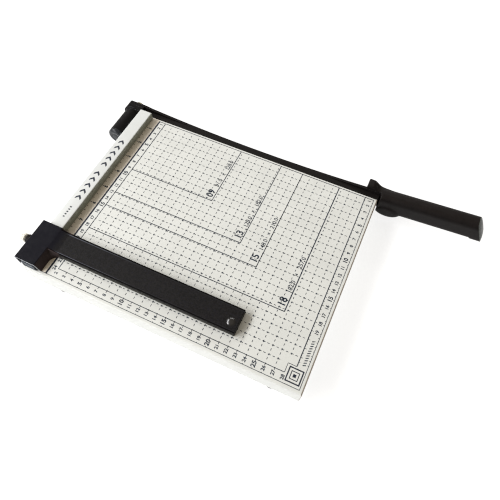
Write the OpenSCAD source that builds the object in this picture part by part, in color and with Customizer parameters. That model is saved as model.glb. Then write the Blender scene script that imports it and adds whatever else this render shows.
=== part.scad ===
// Guillotine paper cutter: a pressed-steel board with a squaring fence, a back stop that
// slides and clamps on the fence, and a bowed knife arm hinged beside the bed knife.
// Sub-parts are drawn in board axes: x runs along the cut from the fence's inner face,
// y runs away from the user with 0 at the cutting plane, z is height above the board top.
// on_foot() then moves them so that the origin is under the foot beside the pivot.

/* [Board] */
// Board length to the right of the fence's inner face
board_right = 303.5; // [290:0.5:320]
// Board width hidden under and left of the fence
board_left = 18; // [17.5:0.5:19]
// Distance from the cutting plane to the board's front face
board_front = 254; // [240:1:270]
// Height of the folded side walls
wall_h = 27; // [25:0.5:32]
// Thickness of the board's sheet steel
sheet = 1.2; // [0.8:0.1:1.6]
// Radius of the fold round the top of the board
fold_r = 2; // [1.8:0.1:3]
// Width of the flanges turned in under the front and back walls
flange_w = 22; // [20:0.5:26]

/* [Feet] */
// Radius of each rubber foot
foot_r = 9; // [7:0.5:10]
// Height of each rubber foot
foot_h = 8; // [6:0.5:12]
// Distance from the fence's inner face to the left feet
foot_left_x = 20; // [15:1:30]
// Distance from the fence's inner face to the right feet
foot_right_x = 271.5; // [260:0.5:285]
// Distance from the cutting plane to the rear feet
foot_back_y = 18; // [17:0.5:20]
// Distance from the board's front face to the front feet
foot_front_inset = 10.3; // [10:0.1:13]

/* [Fence] */
// Width of the squaring fence
fence_w = 16.5; // [15:0.5:17]
// Height of the fence above the board
fence_h = 10; // [9:0.5:12]
// Distance from the cutting plane to the fence's rear end
fence_back = 9; // [8:0.5:12]
// Distance from the fence's front end to the board's front face
fence_front_gap = 2; // [1:0.5:6]
// Thickness of the fence's sheet steel
fence_sheet = 1.5; // [1:0.1:2]

/* [Knives] */
// Thickness of the fixed bed knife
bed_t = 6.4; // [5:0.1:8]
// Height of the bed knife
bed_h = 20; // [16:1:22]
// Thickness of the moving blade
blade_t = 3; // [2.5:0.1:4]
// Width of the moving blade from back to cutting edge
blade_w = 29; // [26:0.5:30]
// Radius of the blade's bowed back
bow_r = 1810; // [1500:10:2400]
// Height of the lowest point of the blade's back
bow_low_z = -2.3; // [-3:0.1:-1]
// Gap between the moving blade and the bed knife
blade_gap = 0.1; // [0.05:0.01:0.2]

/* [Pivot] */
// Distance of the pivot axis to the left of the fence's inner face
pivot_left = 30.5; // [30:0.1:32]
// Depth of the pivot axis below the board top
pivot_drop = 5.5; // [5:0.1:7]
// Outer radius of the pivot barrel
barrel_r = 10.8; // [10:0.1:11.5]
// Distance from the cutting plane to the barrel's front end
barrel_front = 48; // [46:0.5:52]
// Radius of the pivot bolt's shank
pin_r = 4; // [3.5:0.1:4.5]

/* [Handle] */
// Width of the grip
grip_w = 19.4; // [18:0.2:22]
// Height of the grip
grip_h = 26.8; // [24:0.2:30]
// Rise of the grip towards its free end, in degrees
grip_tilt = 5.5; // [3:0.5:7]
// Distance from the fence's inner face to the grip's end, on the grip's axis
grip_end_x = 421; // [400:1:440]
// Width of the finger guard
guard_w = 23; // [21:0.5:26]

/* [Back stop] */
// Length of the sliding head along the fence
head_len = 50; // [46:1:60]
// Distance from the fence's inner face to the tip of the arm
arm_end_x = 221; // [180:1:260]
// Width of the arm
arm_w = 28; // [24:1:32]
// Height of the arm's top above the board
arm_top = 9.8; // [8.5:0.1:11]
// Thickness of the back stop's sheet steel
stop_sheet = 1.5; // [1:0.1:1.6]

/* [Clamp screw] */
// Radius of the clamp screw's thread
screw_r = 2.5; // [2:0.1:3]
// Radius of its knurled knob
knob_r = 5; // [4.5:0.1:7]

/* [Hidden] */

$fn = 64;
eps = 0.05;                       // clearance between parts that touch
run = 0.05;                       // radial clearance of a running fit
hole_slack = 0.2;                 // radial slack of a screw hole
end_gap = 0.5;                    // space past the end of a screw in its hole
cut = 1;                          // how far a cutting tool passes a surface

board_back = bed_t + 2 * eps;         // rear face of the board, measured back from the cutting plane
board_len = board_left + board_right;
inner_fold_r = fold_r - sheet + 0.4;  // the fold is a little fuller inside
foot_front_y = board_front - foot_front_inset;
foot_xs = [foot_left_x, foot_right_x];
foot_ys = [-foot_back_y, -foot_front_y];
foot_hole_r = 1.75;
foot_recess_r = 4.2;              // recess for the screw's head
foot_seat = 4;                    // height at which the head bears
foot_edge = 1;                    // bevel round the foot's underside
foot_draft = 0.6;
foot_head_t = 2;
foot_screw_rise = 4;              // the screw ends this far above the flange's underside

m4_r = 2;                         // M4 hole; its screw is thinner by eps
m4_head_r = 3.6;
m4_head_h = 2.4;
m5_r = 2.5;                       // M5 hole; its bolt is thinner by eps
m5_head_r = 4.5;
m5_head_h = 3;
m5_nut_h = 4;
m5_tail = 5;                      // length of bolt inside the board's wall

fence_front = board_front - fence_front_gap;
fence_screw_inset = 16;
fence_screw_ys = [
  -(fence_back + fence_screw_inset),
  -(fence_back + fence_front) / 2,
  -(fence_front - fence_screw_inset)
];
fence_round = 1;                  // radius of the fence's upper edges
fence_block_h = 8;
fence_block_half = 8;             // half the length of each block

bed_inset = 0.4;                  // the bed knife stops short of the board's left face
knife_screw_z = -12;
knife_screw_inset = 15;
knife_screw_xs = [for (i = [0:4]) knife_screw_inset + i * (board_right - 2 * knife_screw_inset) / 4];
knife_tap_depth = 5;

rail_w = 26;                      // stiffener width, height and welded lip
rail_h = 12;
rail_lip = 7;
rail_inset = 12;                  // distance from the board's sides to the rails' ends
rail_shares = [0.36, 0.66];       // places of the rails, as shares of the board's depth
rail_ys = [for (share = rail_shares) -board_front * share];

pivot_x = -pivot_left;
pivot_z = -pivot_drop;
boss_r = 13.2;                    // rounded end shared by blade, thrust plate and flange
boss_top = 5;                     // flat on top of that rounded end
boss_low = -18.5;
plate_t = 2.5;
plate_lap = 0.2;                  // the thrust plate laps the end of the board by this much
flange_front = 9.5;               // front face of the housing's flange
bore_front = 14;                  // the running bore ends and the spring pocket begins here
pocket_r = 8;
housing_bolt_z = -21;
housing_bolt_ys = [-20, -38];
lug_t = 4.8;
lug_drop = 5;                     // the lug reaches this far below its bolts
lug_inset = 2;                    // and stops this far behind the barrel's front end
web_low = -14;                    // web between barrel and lug
web_top = -4;
rivet_r = 1.5;
rivet_xs = [pivot_x - 5.5, pivot_x + 7];
rivet_z = -15.5;

bolt_head_front = 43;             // the bolt's head lies in the spring pocket
bolt_head_t = 5;
bolt_head_r = 7.5;
stud_r = 3;                       // threaded end that carries blade, washer and nut
nut_washer_t = 1.2;
nut_washer_r = 6.4;
nut_t = 5;
nut_corner_r = 5.77;
stud_tail = 1.5;                  // thread showing past the nut
nut_back = blade_gap + blade_t + nut_washer_t + 2 * eps + nut_t;
washer_t = 1.5;
washer_slack = 0.4;
coil_r = 6;
wire_r = 0.9;
coil_turns = 6;
coil_back = bore_front + eps + wire_r;
coil_front = bolt_head_front - bolt_head_t - washer_t - 3 * eps - wire_r;

bow_mid_x = 141.5;                // the back is lowest here
bow_centre_z = bow_low_z + bow_r;
blade_full_x = board_right - 1;   // full width ends at the handle
tang_end_x = 352;
tang_half = 8;
bevel_h = 5;                      // height of the ground bevel
edge_land = 0.3;                  // thickness left at the cutting edge
heel_x = -12;

grip_ref_x = 366;                 // a point on the grip's axis
grip_ref_z = -1.7;
grip_y = blade_gap + blade_t / 2; // the grip is centred on the blade
grip_round = 7;
near_x = board_right + 2;         // the near half of the handle clears the board's end
guard_x = 286;
guard_top = 9.6;
guard_low = -22;
guard_len = 30;
hump_len = 15;                    // thumb rest, swept down to the grip by a round of this radius
hump_sweep_r = 10;
hump_foot_z = 5.5;
hump_round = 1.5;
lobe_x = 319;
lobe_z = -17;
lobe_r = 13.5;
end_lean = 27.5;                  // the end of the handle leans back by this angle
lip_len = 7;                      // a finger stop under the end of the grip
lip_drop = 1.6;
cap_ball_r = 42;
cap_bulge = 4;
handle_screw_xs = [329, 345];
handle_screw_sink = 3.2;          // depth of the seats for the screws' heads
handle_screw_back = grip_y + grip_w / 2 - handle_screw_sink;
handle_hole_y = -5.5;             // closed end of the screw holes
grip_over = 20;                   // the grip is drawn this far past its end, then cut
reach = 60;                       // half size of a block that cuts right through the handle

head_front_gap = 3.5;
head_front = board_front - head_front_gap;
head_back = head_front - head_len;
head_x = -24.5;                   // outer face of the head's left wall
head_low = -2.8;
head_clear = 0.5;                 // space between the fence and the head
head_under = fence_h + head_clear;
head_top = head_under + stop_sheet;
skirt_top_x = 1.2;
skirt_low_x = 5;
skirt_low = 0.3;
arm_back = head_back;
arm_front = arm_back + arm_w;
arm_root_x = 12;
root_fillet_r = 10;
root_fillet_drop = 3;             // the corner web stops this far below the arm's top
button_x = 213;
button_share = 0.64;              // place of the rivet across the arm's width
button_y = -(arm_back + button_share * arm_w);
rivet_shank_r = 2;

clamp_inset = 26;                 // distance from the head's front to the clamp screw
clamp_y = -(head_front - clamp_inset);
clamp_z = 3.2;
clamp_nut_r = 5.5;
clamp_nut_t = 6;
clamp_nut_x = head_x - clamp_nut_t;
knob_t = 5.2;
knob_gap = 1.3;                   // space between nut and knob with the clamp open
shoe_r = 2.7;
shoe_t = 3;
shoe_x = -(fence_w + eps);        // face that bears on the fence
pin_tip_r = 1.5;
socket_depth = 2;

black = [0.13, 0.12, 0.13];
stop_black = [0.14, 0.14, 0.17];
cream = [0.91, 0.91, 0.87];
steel = [0.62, 0.63, 0.65];
brass = [0.72, 0.66, 0.45];
rubber = [0.10, 0.10, 0.10];
cap_grey = [0.25, 0.27, 0.25];

// ---------------------------------------------------------------- helpers

module on_foot() {
  translate([-foot_left_x, foot_back_y, wall_h + foot_h]) children();
}

// Box between two corners
module box(a, b) {
  translate(a) cube(b - a);
}

// Cylinder along x, y or z, from one coordinate to another on the axis (p, q)
module rod_x(x0, x1, y, z, r, fn = 64) {
  translate([x0, y, z]) rotate([0, 90, 0]) cylinder(h = x1 - x0, r = r, $fn = fn);
}

module rod_y(y0, y1, x, z, r, fn = 64) {
  translate([x, y0, z]) rotate([-90, 0, 0]) cylinder(h = y1 - y0, r = r, $fn = fn);
}

module rod_z(z0, z1, x, y, r, fn = 64) {
  translate([x, y, z0]) cylinder(h = z1 - z0, r = r, $fn = fn);
}

// Plate between y0 and y1 whose 2D outline is drawn in x and z
module plate_y(y0, y1) {
  translate([0, y1, 0]) rotate([90, 0, 0]) linear_extrude(height = y1 - y0) children();
}

// Rectangle with true round corners
module round_rect(w, h, r) {
  square([w - 2 * r, h], center = true);
  square([w, h - 2 * r], center = true);
  for (sx = [-1, 1], sy = [-1, 1])
    translate([sx * (w / 2 - r), sy * (h / 2 - r)]) circle(r = r);
}

// Rectangle from (x0, z0) to (x1, z1) with its two upper corners rounded
module arch_rect(x0, z0, x1, z1, r) {
  translate([x0, z0]) square([x1 - x0, z1 - z0 - r]);
  translate([x0 + r, z0]) square([x1 - x0 - 2 * r, z1 - z0]);
  translate([x0 + r, z1 - r]) circle(r = r);
  translate([x1 - r, z1 - r]) circle(r = r);
}

// Block with rounded folds along all four top edges, inset from the board's outside
module folded_block(inset, low, r) {
  intersection() {
    plate_y(-board_front + inset, -board_back - inset)
      arch_rect(-board_left + inset, low, board_right - inset, -inset, r);
    translate([-board_left + inset, 0, 0]) rotate([90, 0, 90])
      linear_extrude(height = board_len - 2 * inset)
        arch_rect(-board_front + inset, low, -board_back - inset, -inset, r);
  }
}

// ---------------------------------------------------------------- board

module base_tray() {
  color(cream) difference() {
    union() {
      difference() {
        folded_block(0, -wall_h, fold_r);
        translate([0, 0, -cut]) folded_block(sheet, -wall_h, inner_fold_r);
        folded_block(sheet, -wall_h - cut, inner_fold_r);
      }
      for (y = [-board_front + sheet / 2, -board_back - flange_w])
        box([-board_left + sheet / 2, y, -wall_h],
            [board_right - sheet / 2, y + flange_w - sheet / 2, -wall_h + sheet]);
    }
    for (y = fence_screw_ys) rod_z(-cut - sheet, cut, -fence_w / 2, y, m4_r + hole_slack);
    for (x = knife_screw_xs)
      rod_y(-board_back - sheet - cut, -board_back + cut, x, knife_screw_z, m4_r + hole_slack);
    for (y = housing_bolt_ys)
      rod_x(-board_left - cut, -board_left + sheet + cut, y, housing_bolt_z, m5_r + hole_slack);
    for (x = foot_xs, y = foot_ys) rod_z(-wall_h - cut, -wall_h + sheet + cut, x, y, foot_hole_r);
  }
}

// Two hat-section rails spot-welded under the board
module stiffener_rails() {
  low = -sheet - eps - rail_h;
  top = -sheet - eps;
  x0 = -board_left + rail_inset;
  x1 = board_right - rail_inset;
  lip_half = (rail_lip + sheet) / 2;
  color(cream) for (y = rail_ys) {
    box([x0, y - rail_w / 2, low], [x1, y + rail_w / 2, low + sheet]);
    for (s = [-1, 1]) {
      wall = y + s * (rail_w / 2 - sheet / 2);
      box([x0, wall - sheet / 2, low], [x1, wall + sheet / 2, top]);
      lip = y + s * (rail_w / 2 - sheet + lip_half);
      box([x0, lip - lip_half, top - sheet], [x1, lip + lip_half, top]);
    }
  }
}

module rubber_feet() {
  bore = foot_hole_r + eps;
  top = foot_h - eps;
  color(rubber) for (x = foot_xs, y = foot_ys)
    translate([x, y, -wall_h - foot_h]) rotate_extrude()
      polygon([[foot_recess_r, 0], [foot_r - foot_edge, 0], [foot_r, foot_edge],
               [foot_r - foot_draft, top], [bore, top], [bore, foot_seat], [foot_recess_r, foot_seat]]);
}

module foot_screws() {
  seat = -wall_h - foot_h + foot_seat - eps;
  color(steel) for (x = foot_xs, y = foot_ys) {
    rod_z(seat + eps - foot_head_t, seat, x, y, m4_head_r);
    rod_z(seat - cut, -wall_h + foot_screw_rise, x, y, foot_hole_r - eps);
  }
}

// ---------------------------------------------------------------- fence

module fence_rail() {
  color(cream) difference() {
    plate_y(-fence_front, -fence_back)
      arch_rect(-fence_w, 0, 0, fence_h, fence_round);
    box([-fence_w + fence_sheet, -fence_front + fence_sheet, -cut],
        [-fence_sheet, -fence_back - fence_sheet, fence_h - fence_sheet]);
  }
}

// Tapped blocks welded inside the fence
module fence_blocks() {
  color(steel) for (y = fence_screw_ys) difference() {
    box([-fence_w + fence_sheet + eps, y - fence_block_half, eps],
        [-fence_sheet - eps, y + fence_block_half, fence_block_h]);
    rod_z(-cut, fence_block_h + cut, -fence_w / 2, y, m4_r);
  }
}

module fence_screws() {
  color(steel) for (y = fence_screw_ys) {
    rod_z(-sheet - eps - m4_head_h, -sheet - eps, -fence_w / 2, y, m4_head_r);
    rod_z(-sheet - cut, fence_block_h - 2 * end_gap, -fence_w / 2, y, m4_r - eps);
  }
}

// ---------------------------------------------------------------- bed knife

module bed_knife() {
  color(black) difference() {
    box([-board_left + bed_inset, -bed_t, -bed_h], [board_right, 0, 0]);
    for (x = knife_screw_xs)
      rod_y(-bed_t - cut, -bed_t + knife_tap_depth, x, knife_screw_z, m4_r);
  }
}

module knife_screws() {
  seat = -board_back - sheet - eps;
  color(steel) for (x = knife_screw_xs) {
    rod_y(seat - m4_head_h, seat, x, knife_screw_z, m4_head_r);
    rod_y(seat - cut, -bed_t + knife_tap_depth - end_gap, x, knife_screw_z, m4_r - eps);
  }
}

// ---------------------------------------------------------------- pivot

// Round end about the pivot, flat on top, carried on to the right as far as x1
module pivot_outline(x1, low, top) {
  intersection() {
    translate([pivot_x, pivot_z]) circle(r = boss_r, $fn = 96);
    translate([pivot_x - boss_r - cut, pivot_z - boss_r - cut])
      square([x1 - pivot_x + boss_r + cut, top - pivot_z + boss_r + cut]);
  }
  translate([pivot_x, low]) square([x1 - pivot_x, top - low]);
}

module thrust_plate() {
  color(black) difference() {
    plate_y(-plate_t, 0) pivot_outline(-board_left + plate_lap, boss_low, boss_top);
    rod_y(-plate_t - cut, cut, pivot_x, pivot_z, pin_r + run);
    for (x = rivet_xs) rod_y(-plate_t - cut, cut, x, rivet_z, rivet_r);
  }
}

module plate_rivets() {
  color(black) for (x = rivet_xs)
    rod_y(-flange_front, -2 * eps, x, rivet_z, rivet_r - eps);
}

// Flange, barrel and bolting lug in one casting
module pivot_housing() {
  wall_x = -board_left - eps;
  lug_front = -barrel_front + lug_inset;
  color(black) difference() {
    union() {
      plate_y(-flange_front, -plate_t - eps) pivot_outline(wall_x, boss_low, boss_top);
      rod_y(-barrel_front, -flange_front, pivot_x, pivot_z, barrel_r);
      box([wall_x - lug_t, lug_front, housing_bolt_z - lug_drop], [wall_x, -flange_front, pivot_z]);
      box([pivot_x, lug_front, web_low], [wall_x, -flange_front, web_top]);
    }
    rod_y(-bore_front - cut, cut, pivot_x, pivot_z, pin_r + run);
    rod_y(-barrel_front - cut, -bore_front, pivot_x, pivot_z, pocket_r);
    for (x = rivet_xs) rod_y(-flange_front - cut, cut, x, rivet_z, rivet_r);
    for (y = housing_bolt_ys)
      rod_x(wall_x - lug_t - cut, wall_x + cut, y, housing_bolt_z, m5_r);
  }
}

module housing_bolts() {
  seat = -board_left - eps - lug_t - eps;
  color(black) for (y = housing_bolt_ys) {
    rod_x(seat - m5_head_h, seat, y, housing_bolt_z, m5_head_r, 6);
    rod_x(seat - cut, -board_left + sheet + m5_tail, y, housing_bolt_z, m5_r - eps);
  }
}

module housing_nuts() {
  seat = -board_left + sheet + eps;
  color(steel) for (y = housing_bolt_ys) difference() {
    rod_x(seat, seat + m5_nut_h, y, housing_bolt_z, m5_head_r, 6);
    rod_x(seat - cut, seat + m5_nut_h + cut, y, housing_bolt_z, m5_r);
  }
}

// Domed plug that closes the barrel
module pivot_end_cap() {
  dome = 5;
  edge = 3;
  plug = 4;
  color(black) translate([pivot_x, -barrel_front - eps, pivot_z]) rotate([90, 0, 0])
    rotate_extrude() {
      translate([0, -plug]) square([pocket_r - eps, plug + cut]);
      square([barrel_r - edge, dome]);
      square([barrel_r, dome - edge]);
      intersection() {
        translate([barrel_r - edge, dome - edge]) circle(r = edge);
        square([barrel_r, dome]);
      }
    }
}

// Preload spring: a helix of round wire, swept as rings of points
function coil_point(i, j, sides, steps) =
  let (
    a = 360 * i / steps,
    b = 360 * j / sides,
    rise = (coil_front - coil_back) * i / (steps * coil_turns),
    r = coil_r + wire_r * cos(b)
  ) [r * cos(a), -(coil_back + rise + wire_r * sin(b)), r * sin(a)];

module pivot_spring() {
  sides = 8;
  steps = 20;
  rings = steps * coil_turns;
  points = [for (i = [0:rings], j = [0:sides - 1]) coil_point(i, j, sides, steps)];
  walls = [for (i = [0:rings - 1], j = [0:sides - 1])
    let (k = (j + 1) % sides, a = i * sides, b = a + sides) [a + j, a + k, b + k, b + j]];
  start = [for (j = [sides - 1:-1:0]) j];
  end = [for (j = [0:sides - 1]) rings * sides + j];
  color(steel) translate([pivot_x, 0, pivot_z]) polyhedron(points, concat(walls, [start, end]));
}

module spring_washer() {
  front = -(bolt_head_front - bolt_head_t - eps);
  color(steel) difference() {
    rod_y(front, front + washer_t, pivot_x, pivot_z, pocket_r - washer_slack);
    rod_y(front - cut, front + washer_t + cut, pivot_x, pivot_z, pin_r + hole_slack);
  }
}

module pivot_bolt() {
  color(steel) {
    rod_y(-bolt_head_front, -bolt_head_front + bolt_head_t, pivot_x, pivot_z, bolt_head_r, 6);
    rod_y(-bolt_head_front + cut, blade_gap - eps, pivot_x, pivot_z, pin_r);
    rod_y(-cut, nut_back + stud_tail, pivot_x, pivot_z, stud_r);
  }
}

module nut_washer() {
  face = blade_gap + blade_t + eps;
  color(steel) difference() {
    rod_y(face, face + nut_washer_t, pivot_x, pivot_z, nut_washer_r);
    rod_y(face - cut, face + nut_washer_t + cut, pivot_x, pivot_z, stud_r + 2 * eps);
  }
}

module pivot_nut() {
  // cone that turns off the nut's outer corners
  cone_r1 = 7.6;
  cone_r2 = 5.2;
  color(brass) difference() {
    intersection() {
      rod_y(nut_back - nut_t, nut_back, pivot_x, pivot_z, nut_corner_r, 6);
      translate([pivot_x, nut_back - nut_t, pivot_z]) rotate([-90, 0, 0])
        cylinder(h = nut_t, r1 = cone_r1, r2 = cone_r2);
    }
    rod_y(nut_back - nut_t - cut, nut_back + cut, pivot_x, pivot_z, stud_r + eps);
  }
}

// ---------------------------------------------------------------- blade

function back_z(x) = bow_centre_z - sqrt(pow(bow_r, 2) - pow(x - bow_mid_x, 2));
function edge_z(x) = bow_centre_z - sqrt(pow(bow_r + blade_w, 2) - pow(x - bow_mid_x, 2));
function grip_z(x) = grip_ref_z + tan(grip_tilt) * (x - grip_ref_x);

// Points round the pivot end, from its flat top to its lowest point
function boss_arc(top, steps = 24) =
  let (a0 = 180 - asin((top - pivot_z) / boss_r), a1 = 270)
  [for (i = [0:steps]) let (a = a0 + (a1 - a0) * i / steps)
    [pivot_x + boss_r * cos(a), pivot_z + boss_r * sin(a)]];

// Round pivot end, heel, bowed cutting edge, tang and bowed back, in x and z
module blade_outline() {
  head_top_z = boss_top + 0.4;
  neck_x = pivot_x + 14;
  belly_x = pivot_x + 6;
  back_start_x = heel_x + 6;
  steps = 28;
  span = [for (i = [0:steps]) i / steps];
  polygon(concat(
    boss_arc(head_top_z),
    [[belly_x, boss_low]],
    [for (t = span) let (x = heel_x + t * (blade_full_x - heel_x)) [x, edge_z(x)]],
    [[blade_full_x, grip_z(blade_full_x) - tang_half],
     [tang_end_x, grip_z(tang_end_x) - tang_half],
     [tang_end_x, grip_z(tang_end_x) + tang_half],
     [blade_full_x, grip_z(blade_full_x) + tang_half]],
    [for (t = span) let (x = blade_full_x - t * (blade_full_x - back_start_x)) [x, back_z(x)]],
    [[neck_x, head_top_z]]
  ));
}

// Slot in the handle: the blade's end and tang with a little clearance all round
module socket_outline(slack = 0.1) {
  x0 = guard_x - cut;
  x1 = blade_full_x + slack;
  x2 = tang_end_x + slack;
  polygon([
    [x0, edge_z(x0) - slack], [x1, edge_z(x1) - slack],
    [x1, grip_z(x1) - tang_half - slack], [x2, grip_z(x2) - tang_half - slack],
    [x2, grip_z(x2) + tang_half + slack], [x1, grip_z(x1) + tang_half + slack],
    [x1, back_z(x1) + slack], [x0, back_z(x0) + slack]
  ]);
}

module blade_arm() {
  face = blade_gap + blade_t;
  edge_r = bow_r + blade_w;
  bevel_slope = (blade_t - edge_land) / bevel_h;
  color(black) difference() {
    plate_y(blade_gap, face) blade_outline();
    rod_y(blade_gap - cut, face + cut, pivot_x, pivot_z, stud_r + run);
    for (x = handle_screw_xs)
      rod_y(blade_gap - cut, face + cut, x, grip_z(x), m4_r + hole_slack);
    // ground bevel on the outer face, following the cutting edge
    translate([bow_mid_x, 0, bow_centre_z]) rotate([90, 0, 0]) rotate_extrude($fn = 1440)
      polygon([[edge_r - bevel_h, -face - cut], [edge_r - bevel_h, -face],
               [edge_r + cut, bevel_slope * (bevel_h + cut) - face], [edge_r + cut, -face - cut]]);
  }
}

// ---------------------------------------------------------------- handle

// Prism of the grip's section along its tilted axis, from one x to another
module grip_prism(x0, x1) {
  len = (x1 - x0) / cos(grip_tilt);
  translate([x0, grip_y, grip_z(x0)]) rotate([0, -grip_tilt, 0]) rotate([90, 0, 90])
    linear_extrude(height = len) round_rect(grip_w, grip_h, grip_round);
}

// Everything beyond the leaning end face, shifted along x
module past_end(shift) {
  translate([grip_end_x + shift, grip_y, grip_z(grip_end_x)]) rotate([0, -end_lean, 0])
    translate([0, -reach, -reach]) cube([reach, 2 * reach, 2 * reach]);
}

// Thumb rest, blade socket and finger lobe seen from the side
module guard_outline() {
  difference() {
    union() {
      translate([guard_x, guard_low]) square([hump_len, guard_top - hump_round - guard_low]);
      translate([guard_x + hump_round, guard_top - 2 * hump_round])
        square([hump_len - hump_round, 2 * hump_round]);
      translate([guard_x + hump_round, guard_top - hump_round]) circle(r = hump_round);
    }
    translate([guard_x + hump_len, hump_foot_z + hump_sweep_r]) circle(r = hump_sweep_r, $fn = 96);
  }
  translate([guard_x + hump_len - cut, guard_low])
    square([guard_len - hump_len + cut, hump_foot_z - guard_low]);
  translate([lobe_x, lobe_z]) circle(r = lobe_r, $fn = 96);
}

module handle_grip() {
  back = grip_y + guard_w / 2;
  front = grip_y - guard_w / 2;
  color(black) difference() {
    union() {
      plate_y(eps, back) guard_outline();
      intersection() {
        plate_y(front, eps) guard_outline();
        box([near_x, front - cut, -reach], [near_x + reach, cut, reach]);
      }
      grip_prism(near_x + 10 * eps, grip_end_x + grip_over);
      translate([0, 0, -lip_drop]) grip_prism(grip_end_x - lip_len, grip_end_x + grip_over);
    }
    plate_y(eps, blade_gap + blade_t + eps) socket_outline();
    box([guard_x - cut, -reach, -reach], [near_x, eps, reach]);
    for (x = handle_screw_xs) {
      rod_y(handle_hole_y, reach, x, grip_z(x), m4_r);
      rod_y(handle_screw_back, reach, x, grip_z(x), m4_head_r + hole_slack);
    }
    past_end(0);
  }
}

module handle_end_cap() {
  color(cap_grey) intersection() {
    grip_prism(grip_end_x - grip_over, grip_end_x + grip_over);
    past_end(eps);
    translate([grip_end_x, grip_y, grip_z(grip_end_x)]) rotate([0, -end_lean, 0])
      translate([cap_bulge - cap_ball_r, 0, 0]) sphere(r = cap_ball_r, $fn = 128);
  }
}

module handle_screws() {
  color(steel) for (x = handle_screw_xs) {
    rod_y(handle_screw_back + eps, handle_screw_back + m4_head_h, x, grip_z(x), m4_head_r);
    rod_y(handle_hole_y + end_gap, handle_screw_back + cut, x, grip_z(x), m4_r - eps);
  }
}

// ---------------------------------------------------------------- back stop

// Section of the sliding head: left wall, top and sloping skirt
module head_section() {
  slope = (skirt_low_x - skirt_top_x) / (head_top - skirt_low);
  inner = stop_sheet * sqrt(1 + slope * slope);
  polygon([
    [head_x, head_low], [head_x, head_top], [skirt_top_x, head_top],
    [skirt_low_x, skirt_low], [skirt_low_x - inner, skirt_low],
    [skirt_top_x + slope * stop_sheet - inner, head_under],
    [head_x + stop_sheet, head_under], [head_x + stop_sheet, head_low]
  ]);
}

// Side view of the arm with its upper face lowered by d
module arm_side(d, x1) {
  foot = skirt_low - (d > 0 ? cut : 0);
  polygon([
    [skirt_top_x - d, head_top - d], [arm_root_x, arm_top - d], [x1, arm_top - d],
    [x1, foot], [(skirt_top_x + skirt_low_x) / 2, foot]
  ]);
}

module back_stop() {
  lap = 1.5;
  color(stop_black) difference() {
    union() {
      plate_y(-head_front, -head_back) head_section();
      difference() {
        plate_y(-arm_front, -arm_back) arm_side(0, arm_end_x);
        plate_y(-arm_front + stop_sheet, -arm_back - stop_sheet)
          arm_side(stop_sheet, arm_end_x - stop_sheet);
      }
      // web that rounds the corner between skirt and arm
      translate([skirt_low_x - lap, -arm_front - root_fillet_r, skirt_low])
        linear_extrude(height = arm_top - root_fillet_drop - skirt_low) difference() {
          square([root_fillet_r + lap, root_fillet_r + lap / 3]);
          translate([root_fillet_r + lap, 0]) circle(r = root_fillet_r);
        }
    }
    rod_x(head_x - cut, head_x + stop_sheet + cut, clamp_y, clamp_z, screw_r + hole_slack);
    rod_z(arm_top - stop_sheet - cut, arm_top + cut, button_x, button_y, rivet_shank_r);
  }
}

// Domed rivet near the tip of the arm
module arm_button() {
  dome_r = 4.6;
  dome_h = 1.4;
  tail_r = 3.2;
  tail_low = arm_top - stop_sheet - 1;
  ball_r = (dome_r * dome_r + dome_h * dome_h) / (2 * dome_h);
  color(stop_black) {
    rod_z(tail_low, arm_top + dome_h / 3, button_x, button_y, rivet_shank_r - eps);
    rod_z(tail_low, arm_top - stop_sheet - eps, button_x, button_y, tail_r);
    intersection() {
      translate([button_x, button_y, arm_top + eps + dome_h - ball_r]) sphere(r = ball_r, $fn = 96);
      rod_z(arm_top + eps, arm_top + 2 * dome_h, button_x, button_y, dome_r);
    }
  }
}

module clamp_nut() {
  color(stop_black) difference() {
    rod_x(clamp_nut_x, head_x - eps, clamp_y, clamp_z, clamp_nut_r);
    rod_x(clamp_nut_x - cut, head_x + cut, clamp_y, clamp_z, screw_r + run);
  }
}

// Swivel pad that bears on the fence
module pressure_shoe() {
  color(brass) difference() {
    rod_x(shoe_x - shoe_t, shoe_x, clamp_y, clamp_z, shoe_r);
    rod_x(shoe_x - shoe_t - cut, shoe_x - shoe_t + socket_depth, clamp_y, clamp_z, pin_tip_r + run);
  }
}

module thumb_screw() {
  shank_end = shoe_x - shoe_t - eps;
  knob_front = clamp_nut_x - knob_gap;
  color(brass) {
    rod_x(knob_front - knob_t, knob_front, clamp_y, clamp_z, knob_r);
    rod_x(knob_front - cut, shank_end, clamp_y, clamp_z, screw_r);
    rod_x(shank_end - cut, shank_end + socket_depth - 2 * eps, clamp_y, clamp_z, pin_tip_r);
  }
}

// ---------------------------------------------------------------- assembly

on_foot() base_tray();
on_foot() stiffener_rails();
on_foot() rubber_feet();
on_foot() foot_screws();
on_foot() fence_rail();
on_foot() fence_blocks();
on_foot() fence_screws();
on_foot() bed_knife();
on_foot() knife_screws();
on_foot() thrust_plate();
on_foot() plate_rivets();
on_foot() pivot_housing();
on_foot() housing_bolts();
on_foot() housing_nuts();
on_foot() pivot_end_cap();
on_foot() pivot_spring();
on_foot() spring_washer();
on_foot() pivot_bolt();
on_foot() nut_washer();
on_foot() pivot_nut();
on_foot() blade_arm();
on_foot() handle_grip();
on_foot() handle_end_cap();
on_foot() handle_screws();
on_foot() back_stop();
on_foot() arm_button();
on_foot() clamp_nut();
on_foot() pressure_shoe();
on_foot() thumb_screw();
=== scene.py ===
"""Looks of the guillotine paper cutter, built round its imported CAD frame.

Pieces are drawn in board millimetres: x runs along the cut from the fence's inner face, y is 0 at
the cutting plane and negative towards the user, z is height above the board top.
"""
import math

import bmesh
import bpy
from mathutils import Matrix, Vector


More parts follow.
